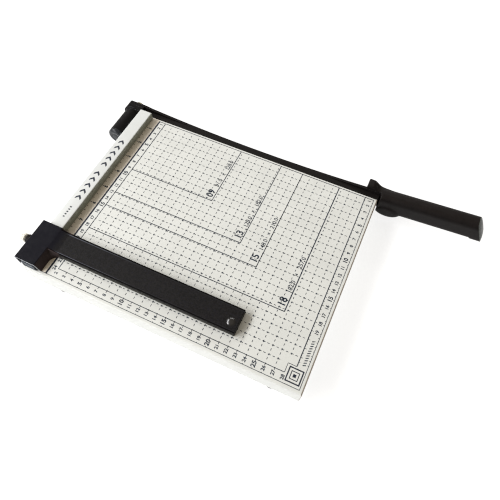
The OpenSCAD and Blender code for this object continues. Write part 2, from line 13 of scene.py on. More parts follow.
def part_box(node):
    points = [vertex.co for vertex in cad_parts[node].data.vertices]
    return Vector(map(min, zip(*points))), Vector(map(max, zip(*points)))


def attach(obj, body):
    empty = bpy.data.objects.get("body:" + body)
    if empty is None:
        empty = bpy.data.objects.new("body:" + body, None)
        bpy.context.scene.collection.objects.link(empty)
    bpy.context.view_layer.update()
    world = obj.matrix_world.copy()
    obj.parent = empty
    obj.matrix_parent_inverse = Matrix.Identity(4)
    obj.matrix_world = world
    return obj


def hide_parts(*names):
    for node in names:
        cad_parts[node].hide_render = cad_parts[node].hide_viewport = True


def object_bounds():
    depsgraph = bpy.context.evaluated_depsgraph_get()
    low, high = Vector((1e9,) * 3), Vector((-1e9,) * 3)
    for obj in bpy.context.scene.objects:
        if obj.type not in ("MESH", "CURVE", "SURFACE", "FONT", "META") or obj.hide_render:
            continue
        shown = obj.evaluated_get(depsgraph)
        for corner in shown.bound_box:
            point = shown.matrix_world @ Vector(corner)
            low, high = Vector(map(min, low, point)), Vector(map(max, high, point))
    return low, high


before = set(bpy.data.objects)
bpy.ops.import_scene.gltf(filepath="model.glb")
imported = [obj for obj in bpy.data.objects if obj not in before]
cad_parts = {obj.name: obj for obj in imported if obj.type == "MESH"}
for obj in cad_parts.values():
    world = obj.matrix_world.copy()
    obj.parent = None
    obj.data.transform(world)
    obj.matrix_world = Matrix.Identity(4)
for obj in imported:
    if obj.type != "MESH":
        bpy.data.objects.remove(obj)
cad_low, cad_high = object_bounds()

MM = 0.001
ZERO = Vector((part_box("fence_rail")[1].x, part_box("bed_knife")[1].y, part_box("base_tray")[1].z))


def mm_box(node):
    """Lowest and highest corners of a CAD node, in board millimetres."""
    low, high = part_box(node)
    return (low - ZERO) / MM, (high - ZERO) / MM


TRAY_LOW, TRAY_HIGH = mm_box("base_tray")
FENCE_LOW, FENCE_HIGH = mm_box("fence_rail")
BED_LOW, BED_HIGH = mm_box("bed_knife")
BARREL_LOW, BARREL_HIGH = mm_box("pivot_housing")
NUT_LOW, NUT_HIGH = mm_box("pivot_nut")
STOP_LOW, STOP_HIGH = mm_box("back_stop")
GRIP_LOW, GRIP_HIGH = mm_box("handle_grip")
BLADE_LOW, BLADE_HIGH = mm_box("blade_arm")

SHEET = 1.2
PIVOT_X = (NUT_LOW.x + NUT_HIGH.x) / 2
PIVOT_Z = (NUT_LOW.z + NUT_HIGH.z) / 2
BOSS_R = 13.2

# ------------------------------------------------------------------ materials


class Nodes:
    """A material's node tree, with short calls for the nodes used here."""

    def __init__(self, name):
        self.material = bpy.data.materials.new(name)
        self.material.use_nodes = True
        self.tree = self.material.node_tree
        self.shader = self.tree.nodes["Principled BSDF"]
        coords = self.new("TexCoord")
        self.place = coords.outputs["Object"]

    def new(self, kind):
        return self.tree.nodes.new("ShaderNode" + kind)

    def link(self, source, target):
        self.tree.links.new(source, target)

    def stretched(self, scale):
        """The object's own coordinates, multiplied per axis."""
        node = self.new("Mapping")
        node.inputs["Scale"].default_value = scale
        self.link(self.place, node.inputs["Vector"])
        return node.outputs["Vector"]

    def noise(self, size_mm, detail=3.0, roughness=0.55, vector=None):
        node = self.new("TexNoise")
        node.inputs["Scale"].default_value = 1 / (size_mm * MM)
        node.inputs["Detail"].default_value = detail
        node.inputs["Roughness"].default_value = roughness
        self.link(vector or self.place, node.inputs["Vector"])
        return node.outputs["Fac"]

    def cells(self, size_mm):
        node = self.new("TexVoronoi")
        node.feature = "SMOOTH_F1"
        node.inputs["Scale"].default_value = 1 / (size_mm * MM)
        self.link(self.place, node.inputs["Vector"])
        return node.outputs["Distance"]

    def remap(self, value, low, high, new_low, new_high):
        node = self.new("MapRange")
        for i, number in enumerate((low, high, new_low, new_high)):
            node.inputs[i + 1].default_value = number
        self.link(value, node.inputs[0])
        return node.outputs[0]

    def band(self, value, low, high, soft):
        """1 where the value lies between low and high, fading to 0 over the soft width outside."""
        return self.times(self.remap(value, low - soft, low, 0, 1),
                          self.remap(value, high, high + soft, 1, 0))

    def parts(self, vector):
        """The x, y and z of a vector."""
        node = self.new("SeparateXYZ")
        self.link(vector, node.inputs[0])
        return node.outputs[0], node.outputs[1], node.outputs[2]

    def board(self):
        """The point's place in board millimetres."""
        node = self.new("Mapping")
        node.inputs["Scale"].default_value = (1 / MM,) * 3
        node.inputs["Location"].default_value = -ZERO / MM
        self.link(self.place, node.inputs["Vector"])
        return node.outputs["Vector"]

    def normal(self):
        return self.new("NewGeometry").outputs["Normal"]

    def edges(self, width_mm):
        """0 on open faces, rising to 1 where the surface turns sharply within the width."""
        bevel, dot = self.new("Bevel"), self.new("VectorMath")
        bevel.samples = 4
        bevel.inputs["Radius"].default_value = width_mm * MM
        dot.operation = "DOT_PRODUCT"
        self.link(bevel.outputs["Normal"], dot.inputs[0])
        self.link(self.normal(), dot.inputs[1])
        return self.remap(dot.outputs["Value"], 0.99, 0.8, 0.0, 1.0)

    def times(self, a, b):
        node = self.new("Math")
        node.operation = "MULTIPLY"
        self.link(a, node.inputs[0])
        if isinstance(b, (int, float)):
            node.inputs[1].default_value = b
        else:
            self.link(b, node.inputs[1])
        return node.outputs[0]

    def blend(self, factor, a, b):
        """Colour a where factor is 0 and b where it is 1; each is a tuple or a socket."""
        node = self.new("Mix")
        node.data_type = "RGBA"
        self.link(factor, node.inputs[0])
        for socket, colour in ((node.inputs[6], a), (node.inputs[7], b)):
            if isinstance(colour, tuple):
                socket.default_value = (*colour, 1)
            else:
                self.link(colour, socket)
        return node.outputs[2]

    def bump(self, height, depth_mm, strength=1.0, below=None):
        node = self.new("Bump")
        node.inputs["Strength"].default_value = strength
        node.inputs["Distance"].default_value = depth_mm * MM
        self.link(height, node.inputs["Height"])
        if below is not None:
            self.link(below, node.inputs["Normal"])
        return node.outputs["Normal"]

    def set(self, **inputs):
        for name, value in inputs.items():
            socket = self.shader.inputs[name.replace("_", " ")]
            if isinstance(value, bpy.types.NodeSocket):
                self.link(value, socket)
            elif isinstance(value, tuple):
                socket.default_value = (*value, 1)
            else:
                socket.default_value = value


def shade(colour, factor):
    return tuple(min(c * factor, 1.0) for c in colour)


def thin_fold(n, tone):
    """Browns the fold away from the fence as painted shade, and warms the fence's strip as its painted
    shadow.
    """
    facing_x = n.parts(n.normal())[0]
    x, y, _ = n.parts(n.board())
    # painted shade on the fold that faces away from the light, and a painted warm shadow on the strip
    # beside the fence
    fold = n.times(n.remap(facing_x, 0.22, 0.40, 0, 0.8), n.remap(facing_x, 0.86, 0.97, 1, 0))
    fence_shadow_strip = n.times(n.band(x, 0, 9.6, 0.3), n.remap(y, -250, -249.5, 0, 1))
    return n.blend(fence_shadow_strip, n.blend(fold, tone, (0.34, 0.255, 0.18)), (0.80, 0.745, 0.66))


def bare_side(n, tone):
    """The fence's inner long face, painted darker grey-green as shade."""
    return n.blend(n.remap(n.parts(n.normal())[0], 0.55, 0.9, 0, 1), tone, (0.31, 0.325, 0.27))


def enamel(name, colour, rough, painted_shade):
    """Stoved paint on sheet steel: orange peel, faint mottling, a little grime, thin on the edges, with the
    given painted shade laid over it.
    """
    n = Nodes(name)
    mottle = n.remap(n.noise(28, 4), 0.35, 0.65, 0, 1)
    tone = n.blend(mottle, shade(colour, 0.97), shade(colour, 1.02))
    specks = n.remap(n.noise(1.1, 2), 0.70, 0.76, 0, 0.35)
    tone = n.blend(specks, tone, shade(colour, 0.72))
    worn = n.times(n.edges(0.5), n.remap(n.noise(6, 4), 0.50, 0.66, 0, 0.45))
    # the overlay paints shade into the colour
    tone = painted_shade(n, n.blend(worn, tone, (0.42, 0.41, 0.38)))
    peel = n.bump(n.noise(0.9, 1), 0.02, 0.30)
    n.set(Base_Color=tone, Roughness=n.remap(n.noise(9, 4), 0.3, 0.7, rough - 0.06, rough + 0.08),
          Normal=n.bump(n.noise(14, 2), 0.12, 0.25, peel), Coat_Weight=0.12, Coat_Roughness=0.25)
    return n.material


def black_coat(name, colour, rough, grain_mm, grain_depth, wear=0.35, shine=0.2, rim=0.35):
    """Black paint on steel with a fine grain, dust in patches and rubbed edges."""
    n = Nodes(name)
    patches = n.remap(n.noise(17, 5, 0.6), 0.35, 0.7, 0, 1)
    tone = n.blend(patches, shade(colour, 0.85), shade(colour, 1.2))
    dust = n.remap(n.noise(0.7, 3), 0.66, 0.74, 0, 0.18)
    tone = n.blend(dust, tone, (0.16, 0.155, 0.15))
    worn = n.times(n.edges(rim), n.remap(n.noise(3, 4), 0.42, 0.62, 0.05, wear))
    tone = n.blend(worn, tone, (0.23, 0.24, 0.26))
    fine = n.bump(n.noise(grain_mm, 2), grain_depth, 0.45)
    n.set(Base_Color=tone, Roughness=n.remap(n.noise(5, 5), 0.3, 0.7, rough - 0.08, rough + 0.1),
          Normal=n.bump(n.noise(11, 2), 0.06, 0.3, fine), Specular_IOR_Level=shine)
    return n.material


def stop_coat(name, colour, rough):
    """The stop's coat: speckled flats, painted highlights along the bends near the head, painted shade on
    the turned faces.
    """
    n = Nodes(name)
    _, facing_y, facing_z = n.parts(n.normal())
    x, _, z = n.parts(n.board())
    turn = n.times(facing_y, facing_y)
    specks = n.remap(n.noise(1.3, 2, 0.8), 0.36, 0.64, 0, 1)
    tone = n.blend(specks, shade(colour, 0.4), shade(colour, 1.8))
    blue = n.remap(n.noise(2.1, 2, 0.7), 0.56, 0.66, 0, 0.5)
    tone = n.blend(blue, tone, (0.011, 0.011, 0.020))
    # painted light: the head's top is painted darker and bluer, its look under this lighting rather than
    # its paint
    head = n.remap(z, STOP_HIGH.z - 2.0, STOP_HIGH.z - 0.8, 0, 0.9)
    tone = n.blend(head, tone, (0.0040, 0.0038, 0.0090))
    # painted highlight: light lines where the bends begin, fading away from the head
    near_head = n.times(n.remap(x, 8, 105, 1, 0.06), n.remap(x, 8, 14, 0, 1))
    rub_and_highlight = n.times(n.band(turn, 0.022, 0.12, 0.014), near_head)
    tone = n.blend(n.times(rub_and_highlight, 0.85), tone, (0.14, 0.15, 0.19))
    # painted shade: faces turned steeply sideways are painted near black
    turned = n.band(turn, 0.16, 0.80, 0.08)
    tone = n.blend(n.times(turned, 0.85), tone, (0.0022, 0.0018, 0.0018))
    # painted reflection: a lighter band low on the front wall, as if the board were mirrored in it
    wall = n.times(n.remap(facing_y, -0.96, -0.9, 1, 0), n.band(z, 1.4, 4.0, 0.6))
    tone = n.blend(n.times(wall, 0.8), tone, (0.060, 0.062, 0.050))
    # painted shade and light: the steep facet beside the head is painted dark brown, the gentler skirt
    # painted lighter
    beside_head = n.band(x, 2, 13, 3)
    skirt = n.times(n.remap(facing_z, 0.88, 0.97, 1, 0), beside_head)
    steep = n.remap(facing_z, 0.72, 0.80, 1, 0)
    tone = n.blend(n.times(skirt, 0.92), tone,
                   n.blend(steep, (0.0025, 0.0012, 0.0015), (0.055, 0.042, 0.042)))
    # painted light: the swept corner, which lies in shade, is painted lighter so that it runs on from the
    # skirt
    sweep = n.times(n.band(z, 3.0, 9.4, 0.2), beside_head)
    sweep = n.times(sweep, n.remap(facing_z, 0.66, 0.74, 0, 1))
    tone = n.blend(sweep, tone, (0.045, 0.036, 0.036))
    raised = n.remap(z, 10.5, 12.5, 0.18, 0.09)
    shine = n.times(raised, n.remap(skirt, 0, 1, 1, 0.1))
    shine = n.times(shine, n.remap(turned, 0, 1, 1, 0.3))
    fine = n.bump(n.noise(0.9, 2), 0.05, 0.5)
    n.set(Base_Color=tone, Roughness=n.remap(n.noise(5, 5), 0.3, 0.7, rough - 0.08, rough + 0.1),
          Normal=n.bump(n.noise(11, 2), 0.06, 0.3, fine), Specular_IOR_Level=shine)
    return n.material


def gloss(name, colour, rough):
    """Smooth glossy black of a small formed part."""
    n = Nodes(name)
    tone = n.blend(n.remap(n.noise(2.5, 3), 0.35, 0.65, 0, 1), shade(colour, 0.8), shade(colour, 1.25))
    n.set(Base_Color=tone, Roughness=n.remap(n.noise(3, 3), 0.3, 0.7, rough - 0.03, rough + 0.04),
          Normal=n.bump(n.noise(3, 1), 0.004, 0.1), Specular_IOR_Level=1.0)
    return n.material


def metal(name, colour, rough, streak, dark=0.55, metallic=0.92):
    """Turned or rolled metal: streaks along one axis, tarnish in patches."""
    n = Nodes(name)
    lines = n.noise(1.0, 4, 0.65, n.stretched(streak))
    tarnish = n.remap(n.noise(4, 4), 0.45, 0.75, 0, 1)
    tone = n.blend(n.remap(lines, 0.35, 0.65, 0, 1), shade(colour, 0.86), shade(colour, 1.06))
    tone = n.blend(tarnish, tone, shade(colour, dark))
    n.set(Base_Color=tone, Metallic=metallic, Roughness=n.remap(lines, 0.3, 0.7, rough - 0.1, rough + 0.14),
          Normal=n.bump(lines, 0.015, 0.5))
    return n.material


def moulded(name, colour, rough, grain_mm, grain_depth, shine=0.2, wear=0.5, front=1.0):
    """Moulded plastic with a spark-eroded grain, a few shiny rubs on raised edges, and faces towards the
    front painted darker as shade by the front factor.
    """
    n = Nodes(name)
    grain = n.cells(grain_mm)
    tone = n.blend(n.remap(n.noise(12, 5), 0.35, 0.7, 0, 1), shade(colour, 0.85), shade(colour, 1.18))
    rub_and_highlight = n.times(n.edges(1.2), n.remap(n.noise(7, 3), 0.4, 0.65, 0.1 * wear, wear))
    tone = n.blend(rub_and_highlight, tone, shade(colour, 2.6))
    _, facing_y, _ = n.parts(n.normal())
    # painted shade: faces towards the front are darkened by the front factor
    tone = n.blend(n.remap(facing_y, -0.9, -0.3, 1 - front, 0), tone, shade(colour, 0.1))
    fine = n.bump(grain, grain_depth, 0.35)
    n.set(Base_Color=tone, Roughness=n.remap(n.noise(3, 5), 0.3, 0.7, rough - 0.06, rough + 0.08),
          Normal=n.bump(n.noise(20, 2), 0.15, 0.3, fine),
          Specular_IOR_Level=n.remap(facing_y, -0.9, -0.3, shine * front, shine))
    return n.material


def rubber(name):
    n = Nodes(name)
    tone = n.blend(n.remap(n.noise(3, 5), 0.4, 0.7, 0, 1), (0.018, 0.018, 0.018), (0.05, 0.048, 0.045))
    n.set(Base_Color=tone, Roughness=n.remap(n.noise(2, 4), 0.3, 0.7, 0.72, 0.9),
          Normal=n.bump(n.noise(0.5, 3), 0.05, 0.5))
    return n.material


def ink(name, colour):
    """Screen-printed ink: slightly uneven in density, with pinholes."""
    n = Nodes(name)
    density = n.remap(n.noise(2.2, 4), 0.3, 0.7, 0, 1)
    tone = n.blend(density, shade(colour, 0.75), shade(colour, 1.5))
    pinholes = n.remap(n.noise(0.35, 2), 0.68, 0.76, 0, 0.5)
    tone = n.blend(pinholes, tone, (0.45, 0.45, 0.43))
    n.set(Base_Color=tone, Roughness=n.remap(density, 0, 1, 0.45, 0.6),
          Normal=n.bump(n.noise(0.4, 1), 0.01, 0.2))
    return n.material


BOARD = enamel("board_enamel", (0.805, 0.82, 0.80), 0.42, thin_fold)
FENCE = enamel("fence_enamel", (0.80, 0.825, 0.83), 0.36, bare_side)
BLACK = black_coat("black_lacquer", (0.0085, 0.0070, 0.0068), 0.54, 0.45, 0.02, 0.35, 0.14)
STOP = stop_coat("stop_coat", (0.0088, 0.0080, 0.0086), 0.58)
GLOSS = gloss("rivet_coat", (0.0065, 0.006, 0.0075), 0.23)
CAST = black_coat("casting_coat", (0.0065, 0.0056, 0.0058), 0.50, 1.0, 0.05, 0.6, 0.11, 0.7)
STEEL = metal("zinc_steel", (0.58, 0.59, 0.60), 0.34, (1.0, 9.0, 1.0))
BRASS = metal("nut_brass", (0.48, 0.45, 0.28), 0.38, (1.0, 7.0, 1.0))
KNOB = metal("knob_brass", (0.95, 0.93, 0.86), 0.45, (7.0, 1.0, 1.0), 0.92, 0.2)
# the grip's front factor paints its front-facing faces darker as shade
GRIP = moulded("grip_plastic", (0.0110, 0.0086, 0.0084), 0.42, 0.55, 0.03, 0.16, 0.12, 0.66)
LENS = moulded("end_cap_plastic", (0.028, 0.033, 0.027), 0.30, 0.9, 0.012)
PLUG = moulded("pivot_cap_plastic", (0.022, 0.025, 0.031), 0.30, 0.8, 0.006, 0.35, 0.3)
END_PLUG = moulded("end_plug_plastic", (0.075, 0.085, 0.105), 0.45, 0.8, 0.012)
CUT_EDGE = metal("cut_steel", (0.40, 0.42, 0.46), 0.5, (7.0, 7.0, 1.0), 0.8, 0.15)
RUBBER = rubber("foot_rubber")
LINE_INK = ink("line_ink", (0.011, 0.021, 0.040))
THICK_INK = ink("thick_ink", (0.006, 0.012, 0.030))

# ------------------------------------------------------------------ mesh helpers


def arc(cx, cy, r, start, end, steps):
    """Points on an arc, from one angle to another in degrees."""
    turn = [math.radians(start + (end - start) * i / steps) for i in range(steps + 1)]
    return [(cx + r * math.cos(a), cy + r * math.sin(a)) for a in turn]


def rect(x0, x1, y0, y1):
    """The four corners of a flat rectangle."""
    return [(x0, y0), (x1, y0), (x1, y1), (x0, y1)]


def loose(bm):
    """A loose object holding a bmesh as it stands."""
    mesh = bpy.data.meshes.new("raw")
    bm.to_mesh(mesh)
    bm.free()
    obj = bpy.data.objects.new("raw", mesh)
    bpy.context.scene.collection.objects.link(obj)
    return obj


def raw(bm):
    """A loose object holding a bmesh whose faces are turned outwards."""
    bmesh.ops.recalc_face_normals(bm, faces=bm.faces)
    return loose(bm)


def thicken(obj, thick, side, even=False):
    """Gives a sheet its thickness, on the side its faces point to or away from."""
    skin = obj.modifiers.new("thickness", "SOLIDIFY")
    skin.thickness = thick
    skin.offset = side
    skin.use_even_offset = even
    return baked(obj)


def baked(obj):
    """Replaces an object's mesh by what its modifiers make of it."""
    bpy.context.view_layer.update()
    graph = bpy.context.evaluated_depsgraph_get()
    mesh = bpy.data.meshes.new_from_object(obj.evaluated_get(graph), depsgraph=graph)
    obj.modifiers.clear()
    obj.data = mesh
    return obj


def combine(obj, operation, *others):
    for other in others:
        step = obj.modifiers.new("combine", "BOOLEAN")
        step.operation = operation
        step.solver = "EXACT"
        step.object = other
        baked(obj)
        bpy.data.objects.remove(other)
    return obj


def join(*objs):
    """One object holding every given mesh as its own island."""
    bm = bmesh.new()
    for obj in objs:
        bm.from_mesh(obj.data)
        bpy.data.objects.remove(obj)
    return raw(bm)


def piece(obj, name, body, material, slot, *nodes, bevel=0.0, segments=2, sharp=35, crease=None):
    """Names a raw object, moves it from board millimetres to the frame and rides it on its body."""
    obj.name = name
    obj.data.name = name
    obj.data.transform(Matrix.Translation(ZERO) @ Matrix.Scale(MM, 4))
    obj.data.materials.clear()
    obj.data.materials.append(material)
    obj.data.shade_smooth()
    obj.data.set_sharp_from_angle(angle=math.radians(crease or sharp))
    if bevel:
        edge = obj.modifiers.new("edges", "BEVEL")
        edge.width = bevel * MM
        edge.segments = segments
        edge.limit_method = "ANGLE"
        edge.angle_limit = math.radians(sharp)
        edge.harden_normals = True
        edge.use_clamp_overlap = True
    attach(obj, body)
    if nodes:
        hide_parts(*nodes)
    return obj


def prism(outline, low, high, axis):
    """A solid with a flat outline, pushed from low to high along x, y or z."""
    order = {"x": lambda p, d: (d, p[0], p[1]), "y": lambda p, d: (p[0], d, p[1]),
             "z": lambda p, d: (p[0], p[1], d)}[axis]
    return loft([[order(p, d) for p in outline] for d in (low, high)])


def loft(rings, closed=False):
    """Skin over rings of equal point counts, capped unless the rings close on themselves."""
    bm = bmesh.new()
    verts = [[bm.verts.new(p) for p in ring] for ring in rings]
    count = len(rings[0])
    for i in range(len(rings) if closed else len(rings) - 1):
        a, b = verts[i], verts[(i + 1) % len(rings)]
        for j in range(count):
            k = (j + 1) % count
            bm.faces.new((a[j], a[k], b[k], b[j]))
    if not closed:
        bm.faces.new(verts[0])
        bm.faces.new(verts[-1])
    return raw(bm)


def lathe(profile, steps=72, ripple=None):
    """A turned solid about z from (radius, height) points that start and end on the axis.

    ripple(angle, radius, height) may give another radius, for a knurl.
    """
    bm = bmesh.new()
    rings = []
    for r, h in profile:
        if r < 1e-6:
            rings.append([bm.verts.new((0, 0, h))])
            continue
        ring = []
        for i in range(steps):
            a = 2 * math.pi * i / steps
            reach = ripple(i, r, h) if ripple else r
            ring.append(bm.verts.new((reach * math.cos(a), reach * math.sin(a), h)))
        rings.append(ring)
    for a, b in zip(rings, rings[1:]):
        for i in range(steps):
            k = (i + 1) % steps
            if len(a) == 1:
                bm.faces.new((a[0], b[i], b[k]))
            elif len(b) == 1:
                bm.faces.new((a[i], a[k], b[0]))
            else:
                bm.faces.new((a[i], a[k], b[k], b[i]))
    return raw(bm)


def ring_lathe(profile, steps=72):
    """A turned ring about z from a closed (radius, height) outline."""
    return loft([[(r * math.cos(a), r * math.sin(a), h) for r, h in profile]
                 for a in (2 * math.pi * i / steps for i in range(steps))], closed=True)


AXES = {name: Matrix.Rotation(math.radians(turn), 4, axis) for name, turn, axis in (
    ("+x", 90, "Y"), ("-x", -90, "Y"), ("+y", -90, "X"), ("-y", 90, "X"), ("+z", 0, "X"), ("-z", 180, "X"))}


def put(obj, direction, place):
    """Turns a part drawn about z so that z points the given way, and moves it."""
    obj.data.transform(Matrix.Translation(Vector(place)) @ AXES[direction])
    return obj


def round_end(r, h, edge, steps=5):
    """Profile of a rod's end from its side to its axis, with a rounded rim."""
    return arc(r - edge, h - edge, edge, 0, 90, steps) + [(0, h)]


def rod(r, length, edge=0.4, steps=64):
    """A rod about z from 0 to its length, both rims rounded."""
    end = round_end(r, length, edge)
    return lathe([(0, 0)] + [(x, length - y) for x, y in reversed(end[:-1])] + end, steps)


def threaded(r, length, pitch=0.8, depth=0.35, start=0.0):
    """A rod with a row of thread-like grooves from start to its end."""
    profile = [(0, 0), (r, 0)]
    h = max(start, 0.2)
    while h + pitch < length - 0.3:
        profile += [(r, h), (r - depth, h + pitch * 0.5), (r, h + pitch)]
        h += pitch
    profile += [(r, length - 0.5), (r - 0.5, length), (0, length)]
    return lathe(profile, 40)


def hexagon(across_flats, length, chamfer=0.6, both=True):
    """A hexagon prism from 0 to its length whose corners are turned off at its ends."""
    corner = across_flats / 2 / math.cos(math.pi / 6)
    sixths = [math.pi * i / 3 for i in range(6)]
    body = prism([(corner * math.cos(a), corner * math.sin(a)) for a in sixths], 0, length, "z")
    low, reach = chamfer if both else 0, corner + 0.01
    cone = lathe([(0, 0), (corner - low, 0), (reach, low + 0.01), (reach, length - chamfer),
                  (corner - chamfer * 1.4, length), (0, length)], 72)
    return combine(body, "INTERSECT", cone)


def cross_screw(head_r, head_h, shank_r, shank_len):
    """A pan-head screw about z: the head's seat is at 0, its shank runs down, a cross is cut in its top."""
    head = lathe([(0, 0), (head_r * 0.98, 0), (head_r, head_h * 0.25)]
                 + [(head_r * math.cos(a), head_h * (0.25 + 0.75 * math.sin(a)))
                    for a in (math.radians(t) for t in (20, 38, 55, 72))] + [(0, head_h)], 48)
    slot_w, slot_l, slot_d = head_r * 0.28, head_r * 1.15, head_h * 0.55
    for w, l in ((slot_w, slot_l), (slot_l, slot_w)):
        cut = prism(rect(-w / 2, w / 2, -l / 2, l / 2), head_h - slot_d, head_h + 1, "z")
        combine(head, "DIFFERENCE", cut)
    shank = put(threaded(shank_r, shank_len + 0.2), "-z", (0, 0, 0.2))
    return join(head, shank)


def pan_screw(length):
    """The cutter's common screw, of the given length over all."""
    head_r, head_h, shank_r = 3.55, 2.3, 1.9
    return cross_screw(head_r, head_h, shank_r, length - 2.5)


# ------------------------------------------------------------------ pressed pans


def pan(x0, x1, y0, y1, z0, z1, fold, corner, thick, turn_in=0.0, steps=6):
    """Sheet pressed into an upturned pan, with flanges turned in under its front and back."""
    wall_end = z0 + fold if turn_in else z0
    m = 4

    def ring(inset, z):
        c = max(corner - inset * 0.5, 0.25)
        centres = ((x1 - inset - c, y0 + inset + c, -90), (x1 - inset - c, y1 - inset - c, 0),
                   (x0 + inset + c, y1 - inset - c, 90), (x0 + inset + c, y0 + inset + c, 180))
        points = []
        for cx, cy, start in centres:
            points += arc(cx, cy, c, start, start + 90, m)
        return [(x, y, z) for x, y in points]

    rings = []
    for i in range(steps + 1):
        a = math.radians(90 * i / steps)
        rings.append(ring(fold * (1 - math.sin(a)), z1 - fold * (1 - math.cos(a))))
    rings.append(ring(0, wall_end))
    bm = bmesh.new()
    verts = [[bm.verts.new(p) for p in r] for r in rings]
    count = len(verts[0])
    bm.faces.new(verts[0])
    for a, b in zip(verts, verts[1:]):
        for j in range(count):
            k = (j + 1) % count
            bm.faces.new((b[j], b[k], a[k], a[j]))
    if turn_in:
        last = verts[-1]
        per = m + 1
        sides = [(last[per * c + m], last[(per * (c + 1)) % count]) for c in range(4)]
        for a, b in (sides[0], sides[2]):  # the plain side walls run on down
            low = [bm.verts.new((v.co.x, v.co.y, z0)) for v in (a, b)]
            bm.faces.new((low[0], low[1], b, a))
        for (a, b), inward in ((sides[1], -1), (sides[3], 1)):
            above = (a, b)
            for i in range(1, steps + 1):
                t = math.radians(90 * i / steps)
                row = [bm.verts.new((v.co.x, v.co.y + inward * fold * (1 - math.cos(t)),
                                     z0 + fold * (1 - math.sin(t)))) for v in (a, b)]
                bm.faces.new((row[0], row[1], above[1], above[0]))
                above = row
            row = [bm.verts.new((v.co.x, v.co.y + inward * turn_in, z0)) for v in (a, b)]
            bm.faces.new((row[0], row[1], above[1], above[0]))
    bmesh.ops.recalc_face_normals(bm, faces=bm.faces)
    if bm.faces[0].normal.z < 0:
        bmesh.ops.reverse_faces(bm, faces=bm.faces)
    return thicken(loose(bm), thick, -1, True)


def build_board():
    shell = pan(TRAY_LOW.x, TRAY_HIGH.x, TRAY_LOW.y, TRAY_HIGH.y, TRAY_LOW.z, 0, 2.0, 0.9, SHEET,
                turn_in=22)
    piece(shell, "board_shell", "base", BOARD, "board_paint", "base_tray", bevel=0.18, sharp=50)


def build_rails():
    """Two hat-section rails: flanges under the board, then rounded folds down to the bottom."""
    low, high = mm_box("stiffener_rails")
    flange, wall, r = 17, 12.8, 1.4
    turns = [math.radians(t) for t in (0, 22, 45, 67, 90)]
    rails = []
    for y in (low.y + flange, high.y - flange):
        sides = []
        for s in (1, -1):
            sides.append([(y + s * flange, high.z), (y + s * (wall + r), high.z)]
                         + [(y + s * (wall + r - r * math.sin(t)), high.z - r + r * math.cos(t))
                            for t in turns[1:]]
                         + [(y + s * (wall - r + r * math.cos(t)), low.z + r - r * math.sin(t))
                            for t in turns])
        outline = sides[0] + sides[1][::-1]
        bm = bmesh.new()
        a, b = ([bm.verts.new((x, *point)) for point in outline] for x in (low.x, high.x))
        for i in range(len(outline) - 1):
            bm.faces.new((a[i], a[i + 1], b[i + 1], b[i]))
        sheet = loose(bm)
        rails.append(thicken(sheet, SHEET, 1 if sheet.data.polygons[0].normal.z < 0 else -1))
    piece(join(*rails), "hat_rails", "base", BOARD, "board_paint", "stiffener_rails")


def build_feet():
    low, high = mm_box("rubber_feet")
    screw_low, screw_high = mm_box("foot_screws")
    foot_r, h = 9.0, high.z - low.z
    outline = ([(4.2, 0.3), (4.5, 0)] + arc(foot_r - 1.0, 1.0, 1.0, -90, 0, 4)
               + [(foot_r - 0.25, 3.0), (foot_r - 0.75, 3.3), (foot_r - 0.75, 3.9), (foot_r - 0.35, 4.2),
                  (foot_r - 0.6, h - 0.4), (foot_r - 1.0, h), (1.85, h), (1.85, 4.05), (4.2, 4.05)])
    feet, screws = [], []
    for x in (low.x + foot_r, high.x - foot_r):
        for y in (low.y + foot_r, high.y - foot_r):
            feet.append(put(ring_lathe(outline, 56), "+z", (x, y, low.z)))
            screw = cross_screw(3.55, 1.8, 1.6, screw_high.z - low.z - 4.1)
            screws.append(put(screw, "-z", (x, y, low.z + 3.95)))
    piece(join(*feet), "rubber_foot_set", "base", RUBBER, "foot_rubber", "rubber_feet", sharp=45)
    piece(join(*screws), "foot_screw_set", "base", STEEL, "plain_steel", "foot_screws", sharp=40)


def build_fence():
    """The fence's folded shell, with a moulded plug in its front end."""
    plug_len, sink, r = 1.4, 0.6, 1.2
    front = FENCE_LOW.y
    shell = pan(FENCE_LOW.x, FENCE_HIGH.x, front + plug_len, FENCE_HIGH.y, 0.02, FENCE_HIGH.z, 1.3, 0.9,
                1.5)
    piece(shell, "fence_shell", "base", FENCE, "fence_paint", "fence_rail", bevel=0.15, sharp=50)
    x0, x1, top = FENCE_LOW.x + 0.3, FENCE_HIGH.x - 0.3, FENCE_HIGH.z - sink
    outline = [(x0, 0.3), (x1, 0.3)] + arc(x1 - r, top - r, r, 0, 90, 5)
    outline += arc(x0 + r, top - r, r, 90, 180, 5)
    plug = prism(outline, front, front + plug_len + 0.8, "y")
    rim = 1.5
    recess = prism(rect(x0 + rim, x1 - rim, 1.9, top - rim), front - 1, front + 0.4, "y")
    piece(combine(plug, "DIFFERENCE", recess), "fence_end_plug", "base", END_PLUG, "fence_paint",
          bevel=0.15, sharp=40)


def build_bed_knife():
    bar = prism(rect(BED_LOW.y, 0, BED_LOW.z, 0), BED_LOW.x, BED_HIGH.x, "x")
    piece(bar, "bed_knife_bar", "base", BLACK, "black_paint", "bed_knife", bevel=0.4, segments=3)


